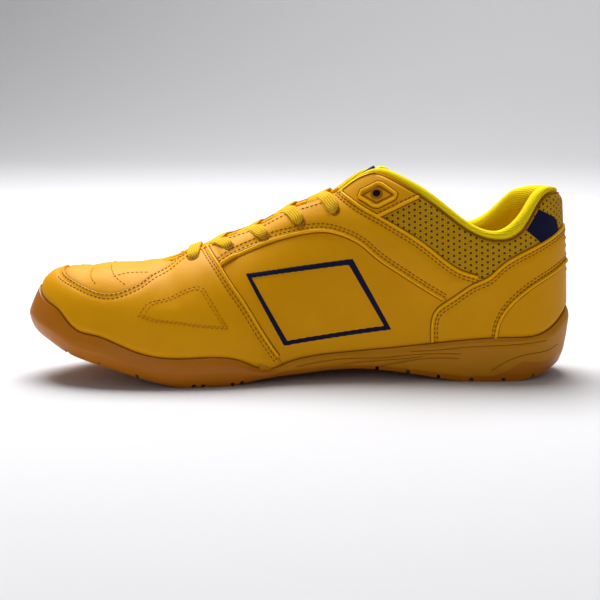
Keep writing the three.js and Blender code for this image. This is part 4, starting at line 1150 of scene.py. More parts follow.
# Dark cords sunk beside the raised edges, along the toe panel's seam, round the lock eyelets and under the roll:
# painted shadow lines, together with the dark seam lines.
shadow_seam_lines = [row_on(side, LINES[name], 1.15 * out, -0.25) for side in SIDES for name, out in OUTSIDE.items()]
shadow_seam_lines += [row_on(side, line, 0, -0.15) for side in SIDES for line in (U_LINE, LOCK_INNER)]
shadow_seam_lines += [under_roll(side) for side in SIDES]
shadow_seam_lines += [row_on(side, LOCK_OUTER, -1.1, -0.2) for side in SIDES]
seam_cords = grow("seam_cords", line_object(shadow_seam_lines), cording, Radius=0.42 * MM, Material=dark_and_shadow_leather)

# Stitches: rows of waxed brown thread beside each seam, one short bead of thread a stitch.
STITCH_PITCH = 2.4
STITCH_LENGTH = 1.9
STITCH_WIDTH = 0.6
NEAR_ROW = 1.5
FAR_ROW = 3.0
thread, _, _ = finish("brown_thread", 0.85, Base_Color=(0.26, 0.085, 0.0, 1), Specular_IOR_Level=0.1)
gold_thread, _, _ = finish("gold_thread", 0.85, Base_Color=(0.52, 0.2, 0.0, 1), Specular_IOR_Level=0.1)


def stitch_tree():
    """A bead of thread at each pitch along each line, lying along it and facing off the skin."""
    tree, start, end = new_tree("stitches", Pitch="Float", Length="Float", Width="Float", Material="Material")
    line = tree.nodes.new("GeometryNodeMeshToCurve")
    even = tree.nodes.new("GeometryNodeResampleCurve")
    even.mode = "LENGTH"
    bead = tree.nodes.new("GeometryNodeMeshUVSphere")
    bead.inputs["Segments"].default_value = 6
    bead.inputs["Rings"].default_value = 4
    bead.inputs["Radius"].default_value = 0.5
    scale = tree.nodes.new("ShaderNodeCombineXYZ")
    tangent = tree.nodes.new("GeometryNodeInputTangent")
    stamp = tree.nodes.new("GeometryNodeInstanceOnPoints")
    rotation = align(tree, None, named_vector(tree, "facing"), "Z")
    rotation = align(tree, rotation, tangent.outputs[0], "X", "Z")
    tree.links.new(start.outputs["Geometry"], line.inputs["Mesh"])
    tree.links.new(line.outputs[0], even.inputs["Curve"])
    tree.links.new(start.outputs["Pitch"], even.inputs["Length"])
    tree.links.new(start.outputs["Length"], scale.inputs["X"])
    for axis in "YZ":
        tree.links.new(start.outputs["Width"], scale.inputs[axis])
    tree.links.new(even.outputs[0], stamp.inputs["Points"])
    tree.links.new(bead.outputs["Mesh"], stamp.inputs["Instance"])
    tree.links.new(rotation, stamp.inputs["Rotation"])
    tree.links.new(scale.outputs[0], stamp.inputs["Scale"])
    finish_tree(tree, start, end, stamp.outputs[0])
    return tree


PATCH_MIDDLE = (0.7, 39)


def shrunk(outline, middle, share):
    """An outline drawn smaller about a point inside it."""
    return [tuple(m + share * (c - m) for c, m in zip(corner, middle)) for corner in outline]


def beside_throat(side, inset):
    """A row along the throat's edge on the finished skin, an inset down from it."""
    u = station_of(np.linspace(0.437, 0.735, 110))
    t = edge_level(side, u) - level_share(side, u, inset)
    facings = normal(side, u, t)
    return settle(column(side, u, t), facings, 0.05), facings


SEWN = (
    (U_LINE, 0.9),
    (U_LINE, 2.7),
    (LINES["toe_rear"], NEAR_ROW),
    (LINES["toe_rear"], FAR_ROW),
    (LINES["band_lower"], -NEAR_ROW),
    (LINES["band_lower"], -FAR_ROW),
    (LINES["band_upper"], -NEAR_ROW),
    (LINES["band_upper"], -FAR_ROW),
    (LINES["counter"], NEAR_ROW),
    (LINES["counter"], FAR_ROW),
    (LINES["back"], -NEAR_ROW),
    (LINES["back"], -FAR_ROW),
    (LINES["tab"], -NEAR_ROW),
)
QUILTED = (
    (shrunk(PATCH_LINE, PATCH_MIDDLE, 0.97), 0),
    (shrunk(PATCH_LINE, PATCH_MIDDLE, 0.85), 0),
    ([(0.8763, 52.5), (0.892, 56.6), (0.9, 62)], 0),
    ([(0.8173, 52.2), (0.8363, 55.6), (0.85, 60)], 0),
    ([(0.8363, 55.6), (0.8104, 56.9), (0.7785, 56.9)], 0),
)
rows = [row_on(side, line, inset, 0.05) for side in SIDES for line, inset in SEWN]
rows += [beside_throat(side, 2.9) for side in SIDES]
quilt_rows = [row_on(side, line, inset, 0.02) for side in SIDES for line, inset in QUILTED]
stitching = stitch_tree()
for name, lines, colour in (("stitches", rows, thread), ("quilting", quilt_rows, gold_thread)):
    sewn = grow(
        name, line_object(lines), stitching,
        Pitch=STITCH_PITCH * MM, Length=STITCH_LENGTH * MM, Width=STITCH_WIDTH * MM, Material=colour,
    )

# Eyelets: six punched holes on each side, each with a flat ring pressed round it and a dark disc under the hole,
# painted shadow for the inside of the hole. The rearmost, the lock eyelet, stays empty.
RING_RADIUS = 2.6
RING_WIRE = 0.6
HOLE_DEPTH = 1.5


def stamp_tree():
    """One copy of a part on every point of the source, standing along its facing."""
    tree, start, end = new_tree("stamps", Part="Object", Size="Float", Material="Material")
    info = tree.nodes.new("GeometryNodeObjectInfo")
    stamp = tree.nodes.new("GeometryNodeInstanceOnPoints")
    tree.links.new(start.outputs["Geometry"], stamp.inputs["Points"])
    tree.links.new(start.outputs["Part"], info.inputs["Object"])
    tree.links.new(info.outputs["Geometry"], stamp.inputs["Instance"])
    tree.links.new(align(tree, None, named_vector(tree, "facing"), "Z"), stamp.inputs["Rotation"])
    tree.links.new(start.outputs["Size"], stamp.inputs["Scale"])
    finish_tree(tree, start, end, stamp.outputs[0])
    return tree


def round_part(name, section, count):
    """A ring turned about Z from a closed section of { radius, height } in millimetres."""
    turns = np.arange(count) * 2 * math.pi / count
    rings = [[(r * math.cos(a), r * math.sin(a), z) for r, z in section] for a in turns]
    mesh = bpy.data.meshes.new(name)
    size = len(section)
    faces = [
        (i * size + j, (i + 1) % count * size + j, (i + 1) % count * size + (j + 1) % size, i * size + (j + 1) % size)
        for i in range(count)
        for j in range(size)
    ]
    mesh.from_pydata((np.array(rings).reshape(-1, 3) * MM).tolist(), [], faces)
    return bpy.data.objects.new(name, mesh)


eyelet_points, eyelet_facings = [], []
for side in SIDES:
    u, t = eyelet_places(side)
    facings = normal(side, u, t)
    eyelet_points.append(column(side, u, t) + (OVERLAY_WALL + 0.45) * facings)
    eyelet_facings.append(facings)
eyelet_points, eyelet_facings = np.concatenate(eyelet_points), np.concatenate(eyelet_facings)
ring_turns = np.arange(8) * math.pi / 4
ring_part = round_part(
    "ring", [(RING_RADIUS + RING_WIRE * math.cos(a), 0.55 * RING_WIRE * math.sin(a)) for a in ring_turns], 20
)
hole_shadow_disc = round_part(
    "hole", [(0.02, -HOLE_DEPTH), (3.4, -HOLE_DEPTH), (3.4, -HOLE_DEPTH - 0.3), (0.02, -HOLE_DEPTH - 0.3)], 16
)
# The dark disc below each hole is painted shadow: the inside of the hole drawn near black.
dark, _, _ = finish("hole_shadow", 0.95, Base_Color=(0.012, 0.006, 0.003, 1))
stamping = stamp_tree()
eyelet_rings = grow(
    "eyelet_rings", line_object([(eyelet_points, eyelet_facings)]), stamping,
    Part=ring_part, Size=1.0, Material=dark_and_shadow_leather,
)
eyelet_holes = grow(
    "eyelet_holes", line_object([(eyelet_points, eyelet_facings)]), stamping,
    Part=hole_shadow_disc, Size=1.0, Material=dark,
)
for part in (ring_part, hole_shadow_disc):
    bpy.data.objects.remove(part)

# Collar lining: a foam pad in knitted cloth inside the upper's edge, rolled out over it all round the mouth.
# It is sewn on flat, turned and stuffed, so the roll is full and its section has no corners.
SOFT_GAP = 1.2
PAD_FRONT = 0.43
COLLAR_PAD = 6.5
COLLAR_ROLL = 12
PAD_HEM = 1
PAD_TAPER = 0.06
SEAM_GAP = 3 * FIT_GAP
PAD_REACH = 3 / 8
ROLL_PUFF = 0.5


def rounded(line, count, passes, closed):
    """A line or ring resampled evenly, its corners worn round."""
    if closed:
        line = np.concatenate([line, line[:1]])
    reach = np.concatenate([[0], np.cumsum(np.linalg.norm(np.diff(line, axis=0), axis=1))])
    at = np.linspace(0, reach[-1], count + 1 if closed else count)
    even = np.stack([np.interp(at, reach, line[:, k]) for k in range(line.shape[1])], -1)
    if closed:
        even = even[:-1]
    for _ in range(passes):
        worn = (np.roll(even, 1, 0) + 2 * even + np.roll(even, -1, 0)) / 4
        even = worn if closed else np.concatenate([even[:1], worn[1:-1], even[-1:]])
    return even


def swept(name, rings, materials, shade=None, capped=True):
    """A closed piece through rings of equal count, with a UV in millimetres along and round it."""
    rings = np.asarray(rings, float)
    count, size = rings.shape[:2]
    index = np.arange(count * size).reshape(count, size)
    beside = np.roll(index, -1, axis=1)
    quads = np.stack([index[:-1], index[1:], beside[1:], beside[:-1]], -1).reshape(-1, 4)
    faces = quads.tolist()
    if capped:
        faces += [index[0].tolist()[::-1], index[-1].tolist()]
    along = np.linalg.norm(np.diff(rings.mean(1), axis=0), axis=1)
    along = np.concatenate([[0], np.cumsum(along)])
    round_it = np.linalg.norm(np.diff(rings, axis=1), axis=2)
    round_it = np.concatenate([np.zeros((count, 1)), np.cumsum(round_it, axis=1)], 1)
    uv = np.stack([np.repeat(along[:, None], size, 1), round_it], -1)
    values = {} if shade is None else {"shade": np.asarray(shade).ravel()}
    made = new_mesh(name, rings.reshape(-1, 3), faces, materials, values, uv.reshape(-1, 2))
    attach(made, "root")
    return made


def pad_wall(u):
    return COLLAR_PAD * (1 - 0.55 * np.clip(1 + (along_of(u) - THROAT_BEGIN) / PAD_TAPER, 0, 1))


def collar_rings(side, u):
    edge = edge_level(side, u)
    per_millimetre = level_share(side, u, 1)
    pad = pad_wall(u)
    roll = COLLAR_ROLL * topline["roll"](u)
    roll = roll * (1 + 0.4 * softly((along_of(u) - 0.3) / 0.06))
    puff = ROLL_PUFF - 2 * softly(1 - along_of(u) / HEEL_REACH)
    inside = -(UPPER_WALL + SOFT_GAP)
    climbs = (
        (edge * -PAD_REACH, inside + 0 * pad),
        (edge * -PAD_REACH * 2 / 3, inside + 0 * pad),
        (edge * -PAD_REACH / 3, inside + 0 * pad),
        (SEAM_GAP * per_millimetre, inside + 0 * pad),
        (SEAM_GAP * per_millimetre, puff - ROLL_PUFF),
        ((SEAM_GAP + roll * 0.55) * per_millimetre, FIT_GAP + puff),
        ((SEAM_GAP + roll) * per_millimetre, -UPPER_WALL + puff),
        ((SEAM_GAP + roll * 0.9) * per_millimetre, inside - pad * 0.6),
        (0 * pad, inside - pad),
        (edge * -PAD_REACH / 2, inside - pad * 0.9),
        (edge * -PAD_REACH, inside - PAD_HEM + 0 * pad),
    )
    return np.stack([lifted(side, u, edge + climb_by, lift) for climb_by, lift in climbs], 1)


pad_stations = even_stations(0, PAD_FRONT, 90, 1.6)
around = np.concatenate([collar_rings(-1, pad_stations[:0:-1]), collar_rings(1, pad_stations)])
lining_rings = np.array([rounded(ring, 56, 5, True) for ring in around])
ring_share = np.linspace(0, 1, 56, endpoint=False)
inner_share = np.tile(softly((ring_share - 0.6) / 0.12), (len(lining_rings), 1))
lining_knit = knit("lining_knit", LEMON, LINING_YELLOW, 0.26, 0.8, 0.2)
collar = swept("collar_padding", lining_rings, [lining_knit], inner_share)
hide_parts("collar_lining")

# Tongue: a padded sheet of the same knit under the throat, from the vamp to just past the collar, with a
# plain navy woven label on its top. Its wings dip under the collar's padding.
TONGUE_FRONT = 0.775
TONGUE_TOP = 0.345
TONGUE_ROUND = 0.055
TONGUE_WIDTH = 62
TONGUE_WALL = 5
WING_RAMP = 3.5


tongue_rise = cubic(
    np.array([0.3, 0.345, 0.357, 0.372, 0.39, 0.42, 0.46, 0.8]),
    np.array([-4, -0.6, 2.0, 1.9, 0.9, 0.1, 0, 0]),
    True,
)


def tongue_points(u, c, under):
    """Points of the tongue across its width, c from -1 to 1, at depths under its top face."""
    along = along_of(u)
    share = (along - TONGUE_TOP) / (TONGUE_FRONT - TONGUE_TOP)
    near = np.clip((along - TONGUE_TOP) / TONGUE_ROUND, 0, 1)
    half = (TONGUE_WIDTH / 2) * (1 - 0.3 * share) * np.sqrt(1 - 0.92 * (1 - near) ** 2)
    beside = 1 - np.clip((along - PAD_FRONT) / 0.03, 0, 1)
    dip = beside * (pad_wall(u) + 1.5 * SOFT_GAP)
    ramp = throat_half(u) - 0.55 * COLLAR_ROLL * topline["roll"](u) - WING_RAMP
    out = half * np.abs(c)
    wing = softly((out - ramp) / (1.4 * WING_RAMP))
    swell = tongue_rise(along)
    middle = middle_line(u)
    found = []
    for side in SIDES:
        controls = posts(side, u)
        t = level_where(lambda level: np.abs(climb(controls, level)[..., 1] - middle) < out, out.shape)
        found.append(lifted(side, u, t, swell - UPPER_WALL - SOFT_GAP - dip * wing - under))
    return np.where((c < 0)[..., None], *found)


tongue_stations = np.linspace(station_of(TONGUE_TOP), station_of(TONGUE_FRONT), 100)[:, None]
turns = (np.arange(64) + 0.5) * 2 * math.pi / 64
tongue_c = np.sign(np.cos(turns)) * np.abs(np.cos(turns)) ** 0.45
depth_share = 0.5 - 0.5 * np.sign(np.sin(turns)) * np.abs(np.sin(turns)) ** 0.5
from_end = np.minimum(along_of(tongue_stations) - TONGUE_TOP, TONGUE_FRONT - along_of(tongue_stations)) * LENGTH
thickness = TONGUE_WALL * (0.35 + 0.65 * np.sqrt(1 - (1 - np.clip(from_end / 3, 0, 1)) ** 2))
across_c = np.broadcast_to(tongue_c, (len(tongue_stations), 64))
under = TONGUE_WALL / 2 + thickness * (depth_share - 0.5)
tongue_shade = np.broadcast_to(softly((depth_share - 0.55) / 0.2), across_c.shape)
tongue_knit = knit("tongue_knit", LEMON, LINING_YELLOW, 0.4, 0.85, 0.1)
tongue = swept("padded_tongue", tongue_points(tongue_stations, across_c, under), [tongue_knit], tongue_shade)
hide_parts("tongue")
label_stations = np.linspace(station_of(0.364), station_of(0.412), 24)[:, None]
label_c = np.broadcast_to(0.62 * tongue_c, (24, 64))
label_under = -0.15 + 0.5 * depth_share + 0 * label_stations
label = swept("tongue_label", tongue_points(label_stations, label_c, label_under), [navy_twill])

# Insole: a foam footbed in cloth, laid on the footbed inside the wall, its edge turned up.
INSOLE_WALL = 3.5
INSOLE_CUP = 1.2
INSOLE_RIM = 3
INSOLE_BEVEL = 0.8
INSOLE_INSET = FEATHER_INSET + UPPER_WALL + 2.5 * FIT_GAP


def bed_height(x):
    return STACK_HEIGHT * seat["bed"](station_of(np.clip((LENGTH / 2 - x) / LENGTH, 0, 1)))


def at_inset(side, u, inset, height_over=None, z=None):
    flat = plan_point(side, u, np.full(u.shape, float(inset)))
    height = bed_height(flat[..., 0]) + height_over if z is None else z
    return np.concatenate([flat, np.asarray(height)[..., None]], -1)


sole_stations = np.linspace(0, 1, 241)
bed_rows = ((INSOLE_BEVEL, 0), (0, INSOLE_WALL + INSOLE_CUP), (INSOLE_RIM, INSOLE_WALL))
insole_side = {
    side: [at_inset(side, sole_stations, INSOLE_INSET + more, FIT_GAP + up) for more, up in bed_rows]
    for side in SIDES
}
insole_rings = np.stack([*insole_side[-1], *insole_side[1][::-1]], 1)
insole_rings = np.array([rounded(ring, 48, 1, True) for ring in insole_rings])
insole_cloth = knit("insole_cloth", (0.62, 0.5, 0.24, 1), (0.62, 0.5, 0.24, 1), 0.5)
insole = swept("footbed_insole", insole_rings, [insole_cloth], capped=False)
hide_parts("insole")

# Midsole and outsole: one bulging side profile, parted along the line where the foam sits on the gum rubber.
# The rubber wraps up round the toe and the heel; the foam carries moulded flow lines that fade to the heel.
TOE_SPRING = 24
ARCH_RISE = 6.3
LATERAL_ARCH = 0.45
HEEL_BEVEL = 8
TREAD = table(
    "along spring arch bevel",
    (0, 0, 0, 1),
    (0.025, 0, 0, 0.68),
    (0.06, 0, 0, 0.26),
    (0.1, 0, -0.02, 0),
    (0.2, 0, -0.02, 0),
    (0.31, 0, 0.66, 0),
    (0.41, 0, 1, 0),
    (0.5, 0, 0.68, 0),
    (0.56, 0, 0.42, 0),
    (0.62, 0, -0.02, 0),
    (0.7, -0.01, 0, 0),
    (0.75, 0.1, 0, 0),
    (0.81, 0.29, 0, 0),
    (0.87, 0.48, 0, 0),
    (0.92, 0.64, 0, 0),
    (0.96, 0.84, 0, 0),
    (1, 1, 0, 0),
)
tread = columns(TREAD)


def tread_height(side, u):
    arch = ARCH_RISE * (1 if side < 0 else LATERAL_ARCH)
    rise = TOE_SPRING * tread["spring"](u) + arch * tread["arch"](u) + HEEL_BEVEL * tread["bevel"](u)
    return np.maximum(0, rise)


TREAD_INSET = 4.5
LIP_EDGE = 1.3
RIM_SLACK = 0.2
CHANNEL = 9
MIDSOLE_FLOOR = 3.2
HEEL_WRAP = 12
GROOVE_WIDTH = 1.6
GROOVE_DEPTH = 2
GROOVES = (0.07, 0.13, 0.19, 0.25, 0.305, 0.36, 0.6, 0.617, 0.67, 0.687, 0.79, 0.86, 0.925)
BULGE = table("along height", (0, 0.84), (0.2, 0.78), (0.45, 0.6), (0.75, 0.5), (1, 0.42))
PARTING = table(
    "along over wrap",
    (0, 0, 1.05),
    (0.015, 0, 1.0),
    (0.04, 0, 0.86),
    (0.067, 0, 0.84),
    (0.097, 0, 0.93),
    (0.112, 0, 0.7),
    (0.131, 0.1, 0.42),
    (0.15, 1.05, 0),
    (0.2, 1, 0),
    (0.3, 0.95, 0),
    (0.4, 0.9, 0),
    (0.5, 1, 0),
    (0.535, 1.2, 0),
    (0.557, 1.95, 0),
    (0.575, 6, 0),
    (1, 40, 0),
)
FLOW_LINES = (
    [(0.506, 9.2), (0.476, 10.5), (0.434, 12.1), (0.393, 12.6), (0.351, 12.9), (0.31, 14.2), (0.269, 15.2), (0.21, 15.5)],
    [(0.37, 7.0), (0.33, 9.4), (0.288, 12.0), (0.258, 12.9), (0.213, 12.9)],
    [(0.30, 16.4), (0.267, 17.0), (0.195, 19.2), (0.123, 20.2), (0.053, 21.4)],
    [(0.42, 9.6), (0.37, 10.8), (0.33, 11.9), (0.28, 13.7)],
)
HEEL_LINES = (
    [(0.155, 6.5), (0.135, 10.2), (0.112, 13.2), (0.08, 15), (0.05, 15.8), (0.03, 18)],
)
PROFILE_POINTS = 40
bulge = columns(BULGE)["height"]


def parting_height(side, u):
    along = along_of(u)
    over, wrap = (np.interp(along, PARTING["along"], PARTING[key]) for key in ("over", "wrap"))
    return np.minimum(1, over) * tread_height(side, u) + MIDSOLE_FLOOR * over + HEEL_WRAP * wrap


def touch(side, u, z, out):
    bare = column(side, u, level_at_height(side, u, z))
    step = out * plan_normal(side, u)
    return bare + np.concatenate([step, np.zeros((len(u), 1))], 1)


def side_profile(side, u):
    """The sole's outer side from tread to lip, and its inner side from the lip down to the footbed."""
    bottom, lip, low = tread_height(side, u), lip_height(u), seat_height(u)
    swell = bulge(u) * (lip - bottom)
    widest = at_inset(side, u, 0, z=bottom + swell)
    top = touch(side, u, lip, FIT_GAP + LIP_EDGE)
    middle = (widest + top) / 2 + 0.35 * np.pad(plan_normal(side, u), ((0, 0), (0, 1)))
    outer = np.stack([
        at_inset(side, u, TREAD_INSET, z=bottom),
        at_inset(side, u, 2.6, z=bottom + 0.22 * swell),
        at_inset(side, u, 1.25, z=bottom + 0.55 * swell),
        widest,
        middle,
        top,
    ], 1)
    outer = np.array([rounded(line, PROFILE_POINTS, 6, False) for line in outer])
    channel = np.minimum(CHANNEL, 0.6 * outline["half"](u) * BALL_WIDTH / 2)
    bed = plan_point(side, u, RAND_WALL + channel)
    inner = np.stack([
        touch(side, u, lip + 0.05, FIT_GAP + LIP_EDGE * 0.5),
        touch(side, u, lip, FIT_GAP),
        touch(side, u, low + (lip - low) * 0.7, FIT_GAP + RIM_SLACK),
        touch(side, u, low + (lip - low) * 0.35, FIT_GAP + RIM_SLACK),
        at_inset(side, u, RAND_WALL, z=low),
        at_inset(side, u, FEATHER_INSET + UPPER_WALL + FIT_GAP, z=low),
        np.concatenate([bed, (bed_height(bed[:, 0]) - FIT_GAP)[:, None]], 1),
    ], 1)
    return outer, inner


def grooved(side, u, outer):
    """The flow lines pressed into the foam's side."""
    along = (LENGTH / 2 - outer[..., 0]) / LENGTH
    z = outer[..., 2]
    depth = np.zeros(z.shape)
    for line in FLOW_LINES:
        xs, zs = np.array(line[::-1]).T
        curve = cubic(xs, zs, False)(np.clip(along, xs[0], xs[-1]))
        fade = softly((along - xs[0]) / 0.05) * softly((xs[-1] - along) / 0.03)
        gap = z - curve
        depth += fade * (0.5 * np.exp(-((gap / 0.8) ** 2)) - 0.4 * np.exp(-(((gap - 1.7) / 0.8) ** 2)))
    push = np.pad(plan_normal(side, u), ((0, 0), (0, 1)))[:, None]
    return outer - depth[..., None] * push


def taken(line, start, stop, count):
    """A stretch of each line between two shares of it."""
    shares = start[:, None] + (stop - start)[:, None] * np.linspace(0, 1, count)
    at = shares * (line.shape[1] - 1)
    low = np.clip(at.astype(int), 0, line.shape[1] - 2)
    part = (at - low)[..., None]
    rows = np.arange(len(line))[:, None]
    return line[rows, low] * (1 - part) + line[rows, low + 1] * part


def sole_rings(stations, foam):
    halves = {}
    for side in SIDES:
        outer, inner = side_profile(side, stations)
        parting = parting_height(side, stations)
        split = np.array([np.interp(p, line[:, 2], np.linspace(0, 1, len(line))) for p, line in zip(parting, outer)])
        nothing, everything = np.zeros(len(stations)), np.ones(len(stations))
        if foam:
            outer = taken(grooved(side, stations, outer), split, everything, PROFILE_POINTS)
            inner[..., 2] = np.maximum(inner[..., 2], parting[:, None] + FIT_GAP)
        else:
            outer = taken(outer, nothing, split, PROFILE_POINTS)
            back = plan_normal(side, stations)[:, None] * np.arange(1, 8)[:, None] * 0.9
            flat = outer[:, -1:, :] - np.pad(back, ((0, 0), (0, 0), (0, 1)))
            flat[..., 2] -= 0.1
            inner = np.where(inner[..., 2:] > parting[:, None, None], flat, inner)
            notch = np.abs(along_of(stations)[:, None] - np.array(GROOVES)).min(1) * LENGTH < GROOVE_WIDTH / 2
            floor = tread_height(side, stations) + GROOVE_DEPTH * notch
            outer[..., 2] = np.maximum(outer[..., 2], floor[:, None])
        halves[side] = np.concatenate([outer, inner], 1)
    tread_row = np.linspace(0, 1, 12)[1:-1, None]
    start, stop = halves[1][:, :1], halves[-1][:, :1]
    across_row = start + (stop - start) * tread_row
    return np.concatenate([halves[-1], halves[1][:, ::-1], across_row], 1)


def rubber(name, bright, deep, roughness, see_through):
    material, tree, shader = finish(name, roughness, Specular_IOR_Level=0.22)
    shader.inputs["Subsurface Weight"].default_value = see_through
    shader.inputs["Subsurface Radius"].default_value = (0.004, 0.0015, 0.0004)
    texture = tree.nodes.new("ShaderNodeGroup")
    texture.node_tree = grain
    texture.inputs["Pebble Scale"].default_value = 1400
    texture.inputs["Mottle Scale"].default_value = 35
    tree.links.new(blend_colours(tree, texture.outputs["Tone"], deep, bright), shader.inputs["Base Color"])
    bump(tree, shader, texture.outputs["Height"], 0.05, 0.25)
    return material


gum = rubber("gum_rubber", (0.56, 0.185, 0.002, 1), (0.42, 0.125, 0.001, 1), 0.34, 0.08)
foam = rubber("sole_foam", (0.6, 0.25, 0.0, 1), (0.5, 0.19, 0.0, 1), 0.5, 0.0)
foam_stations = even_stations(0, 0.572, 15, 1.3)
midsole = swept("foam_midsole", sole_rings(foam_stations, True), [foam])
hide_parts("midsole")
gum_even = even_stations(0, 1, 15, 1.6)
slits = np.array([[g + e / LENGTH for e in (-0.95, -0.75, 0.75, 0.95)] for g in GROOVES]).ravel()
gum_stations = np.unique(np.concatenate([gum_even, station_of(slits)]))
outsole = swept("gum_outsole", sole_rings(gum_stations, False), [gum])
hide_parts("outsole")
sole_skin = skin_of([midsole, outsole])
creased = []
for side in SIDES:
    for line in (*FLOW_LINES, *HEEL_LINES):
        run = run_through(line)
        found = []
        for x, z in zip(place(along_of(run[:, 0] / SPREAD)), run[:, 1]):
            outward = Vector((0, side, 0))
            hit, facing = sole_skin.ray_cast(Vector((x, side * 90, z)), -outward, 90)[:2]
            if hit is not None:
                found.append((np.array(hit) - 0.1 * np.array(facing), np.array(facing)))
        creased.append(tuple(np.array(part) for part in zip(*found)))
    lip_stations = np.linspace(0.0005, 0.9995, 300)
    lip_run = touch(side, lip_stations, lip_height(lip_stations) + 0.15, FIT_GAP + 0.5)
    creased.append((lip_run, np.pad(plan_normal(side, lip_stations), ((0, 0), (0, 1)))))
# Dark cords in the flow grooves and along the lip where the upper enters the sole: painted shade in these grooves.
moulded = finish("groove_shade_line", 0.7, Base_Color=(0.3, 0.1, 0, 1), Specular_IOR_Level=0.15)[0]
sole_lines = grow("sole_lines", line_object(creased), cording, Radius=0.28 * MM, Material=moulded)

# Lace: one flat woven lace, laced criss-cross from a straight bar in the front pair of eyelets to the top
# pair. It comes up through each eyelet, crosses toward the toe over the tongue and goes under the other
# side's edge.
LACE_WIDTH = 7.4
LACE_WALL = 1.6
LACE_LIFT = OVERLAY_WALL + 0.3 + LACE_WALL / 2
LACE_DIVE = 1.5
CROSS_REACH = 0.68
LACE_UNDER = -(UPPER_WALL + 1.0)


def over_last(path):
    """Points and facings of a path of { station, c, lift }, c from -1 at the inner feather edge to 1 at the outer."""
    u, c, lift = np.array(path, float).T
    level = 1 - np.abs(c)
    picks = [(lifted(side, u, level, lift), normal(side, u, level)) for side in SIDES]
    return tuple(np.where((c < 0)[:, None], *pair) for pair in zip(*picks))


eyelet_rows = {side: list(zip(*eyelet_places(side))) for side in SIDES}


def eyelet_at(side, row):
    u, t = eyelet_rows[side][row]
    return float(u), float(side * (1 - t))


def pass_over(side, row):
    """From under an eyelet, up through it, over the throat and down under the other edge to the next eyelet."""
    u, c = eyelet_at(side, row)
    end_u = station_of(np.array([FIRST_EYELET - (row - CROSS_REACH) * EYELET_PITCH / LENGTH]))
    edge = edge_level(-side, end_u)
    dive = level_share(-side, end_u, LACE_DIVE)
    edge_c = -side * (1 - edge - dive).item()
    tucked_c = -side * (1 - edge + 1.6 * dive).item()
    end_u = end_u.item()
    path = [(u, c, LACE_UNDER), (u, c, -0.4), (u, c, 1.2)]
    for share, lift in ((0.07, 0.3), (0.2, 0.1), (0.34, 0), (0.5, -1.1), (0.66, -1.5), (0.8, -1.5), (0.93, -1.7)):
        path.append((u + (end_u - u) * share, c + (edge_c - c) * share, LACE_LIFT + lift))
    path.append((end_u, edge_c, -0.6))
    path.append((end_u + 0.001, (edge_c + tucked_c) / 2, LACE_UNDER + 0.6))
    path.append((end_u + 0.002, tucked_c, LACE_UNDER))
    return path


bar_start, bar_end = eyelet_at(1, 0), eyelet_at(-1, 0)
bar = [(*bar_start, LACE_UNDER), (*bar_start, -0.4), (*bar_start, 1.2)]
for share, lift in ((0.07, 0.3), (0.2, 0.1), (0.35, -0.1), (0.5, -0.6), (0.65, -0.1), (0.8, 0.1), (0.93, 0.3)):
    bar.append(tuple(a + (b - a) * share for a, b in zip(bar_start, bar_end)) + (LACE_LIFT + lift,))
bar += [(*bar_end, 1.2), (*bar_end, -0.4), (*bar_end, LACE_UNDER)]
top_row = EYELET_ROWS - 1
first_half = [pass_over(-1 if row % 2 else 1, row) for row in range(top_row, 0, -1)]
second_half = [pass_over(1 if row % 2 else -1, row) for row in range(top_row, 0, -1)]
passes = [*first_half, bar, *[path[::-1] for path in second_half[::-1]]]
lace_points, lace_aside = [], []
for path in passes:
    points, facings = over_last(path)
    aside = unit(np.cross(facings, points[-1] - points[0]))
    if lace_aside and lace_aside[-1] @ aside[0] < 0:
        aside = -aside
    lace_points += list(points)
    lace_aside += list(aside)
PINCHED = 0.58
lifts = [lift for path in passes for _, _, lift in path]
narrow = [PINCHED if lift == 1.2 or -2 < lift < -1 or lift == LACE_UNDER else 1.0 for lift in lifts]
lace_run = np.column_stack([lace_points, 3 * np.array(lace_aside), 3 * np.array(narrow)])
LACE_STEPS = 900
lace_run = rounded(lace_run, LACE_STEPS, 9, False)
lace_line, lace_side, lace_share = lace_run[:, :3], lace_run[:, 3:6], lace_run[:, 6:] / 3
ahead = unit(np.gradient(lace_line, axis=0))
lace_side = unit(lace_side - (lace_side * ahead).sum(1, keepdims=True) * ahead)
lace_up = np.cross(lace_side, ahead)
turns = np.arange(14) * 2 * math.pi / 14
across_lace = np.sign(np.cos(turns)) * np.abs(np.cos(turns)) ** 0.6 * LACE_WIDTH / 2
through_lace = np.sign(np.sin(turns)) * np.abs(np.sin(turns)) ** 0.8 * LACE_WALL / 2
lace_rings = (
    lace_line[:, None]
    + lace_side[:, None] * (lace_share * across_lace)[..., None]
    + lace_up[:, None] * ((1.25 - 0.25 * lace_share) * through_lace)[..., None]
)
woven = knit("woven_lace", (1, 0.56, 0.02, 1), (1, 0.56, 0.02, 1), 0.25, 0.6, 0.3)
lace = swept("woven_lace", lace_rings, [woven])
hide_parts("lace_bar", *[f"lace_crossing_{row}" for row in range(1, EYELET_ROWS)])

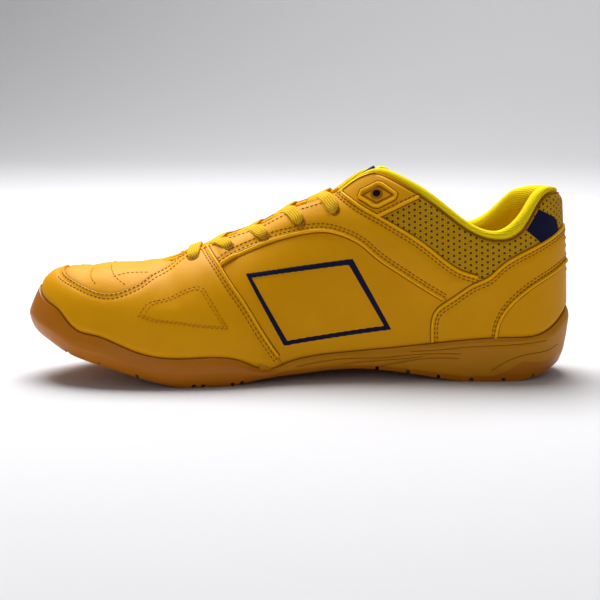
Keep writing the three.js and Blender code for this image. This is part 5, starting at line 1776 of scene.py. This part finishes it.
# The studio: a pale sweep of paper under and behind the shoe, soft light from above and the left, and the
# camera.
FLOOR_REACH = 3
SWEEP = 1.2
EYE_HEIGHT = 0.0386
EYE_DISTANCE = 0.9
EYE_ELEVATION = math.radians(9)
LENS = 100.02
bend = [(SWEEP * math.sin(a), SWEEP * (1 - math.cos(a))) for a in np.linspace(0, math.pi / 2, 24)]
sweep_line = [(-FLOOR_REACH, 0), *[(FLOOR_REACH / 2 + y, z) for y, z in bend], (FLOOR_REACH / 2 + SWEEP, 4)]
paper_mesh = bpy.data.meshes.new("paper")
paper_points = [(x, y, z) for y, z in sweep_line for x in (-6, 6)]
paper_mesh.from_pydata(paper_points, [], [(2 * i, 2 * i + 1, 2 * i + 3, 2 * i + 2) for i in range(len(sweep_line) - 1)])
paper_mesh.shade_smooth()
paper, _, _ = finish("pale_paper", 0.9, Base_Color=(0.66, 0.655, 0.67, 1))
paper_mesh.materials.append(paper)
floor = bpy.data.objects.new("floor", paper_mesh)
bpy.context.scene.collection.objects.link(floor)

world = bpy.data.worlds.new("studio")
world.use_nodes = True
world.node_tree.nodes["Background"].inputs["Color"].default_value = (0.95, 0.97, 1, 1)
world.node_tree.nodes["Background"].inputs["Strength"].default_value = 0.2
bpy.context.scene.world = world
bpy.context.scene.view_settings.view_transform = "Standard"
for name, spot, target, size, power in (
    ("key", (-0.15, 0.55, 1.2), (0, 0, 0.05), 1.0, 33),
    ("fill", (-0.5, -1.7, 0.5), (0, 0, 0.05), 0.8, 2.2),
    ("backdrop", (0.5, 2.2, 1.6), (0.5, 2.9, 0.2), 1.6, 16),
):
    lamp = bpy.data.lights.new(name, "AREA")
    lamp.size = size
    lamp.energy = power
    light = bpy.data.objects.new(name, lamp)
    light.location = spot
    light.rotation_euler = (Vector(target) - Vector(spot)).to_track_quat("-Z", "Y").to_euler()
    bpy.context.scene.collection.objects.link(light)

view = bpy.data.cameras.new("camera")
view.lens = LENS
view.sensor_width = 36
view.sensor_fit = "HORIZONTAL"
camera = bpy.data.objects.new("camera", view)
camera.location = (
    0,
    -EYE_DISTANCE * math.cos(EYE_ELEVATION),
    EYE_HEIGHT + EYE_DISTANCE * math.sin(EYE_ELEVATION),
)
camera.rotation_euler = (math.pi / 2 - EYE_ELEVATION, 0, 0)
bpy.context.scene.collection.objects.link(camera)
bpy.context.scene.camera = camera
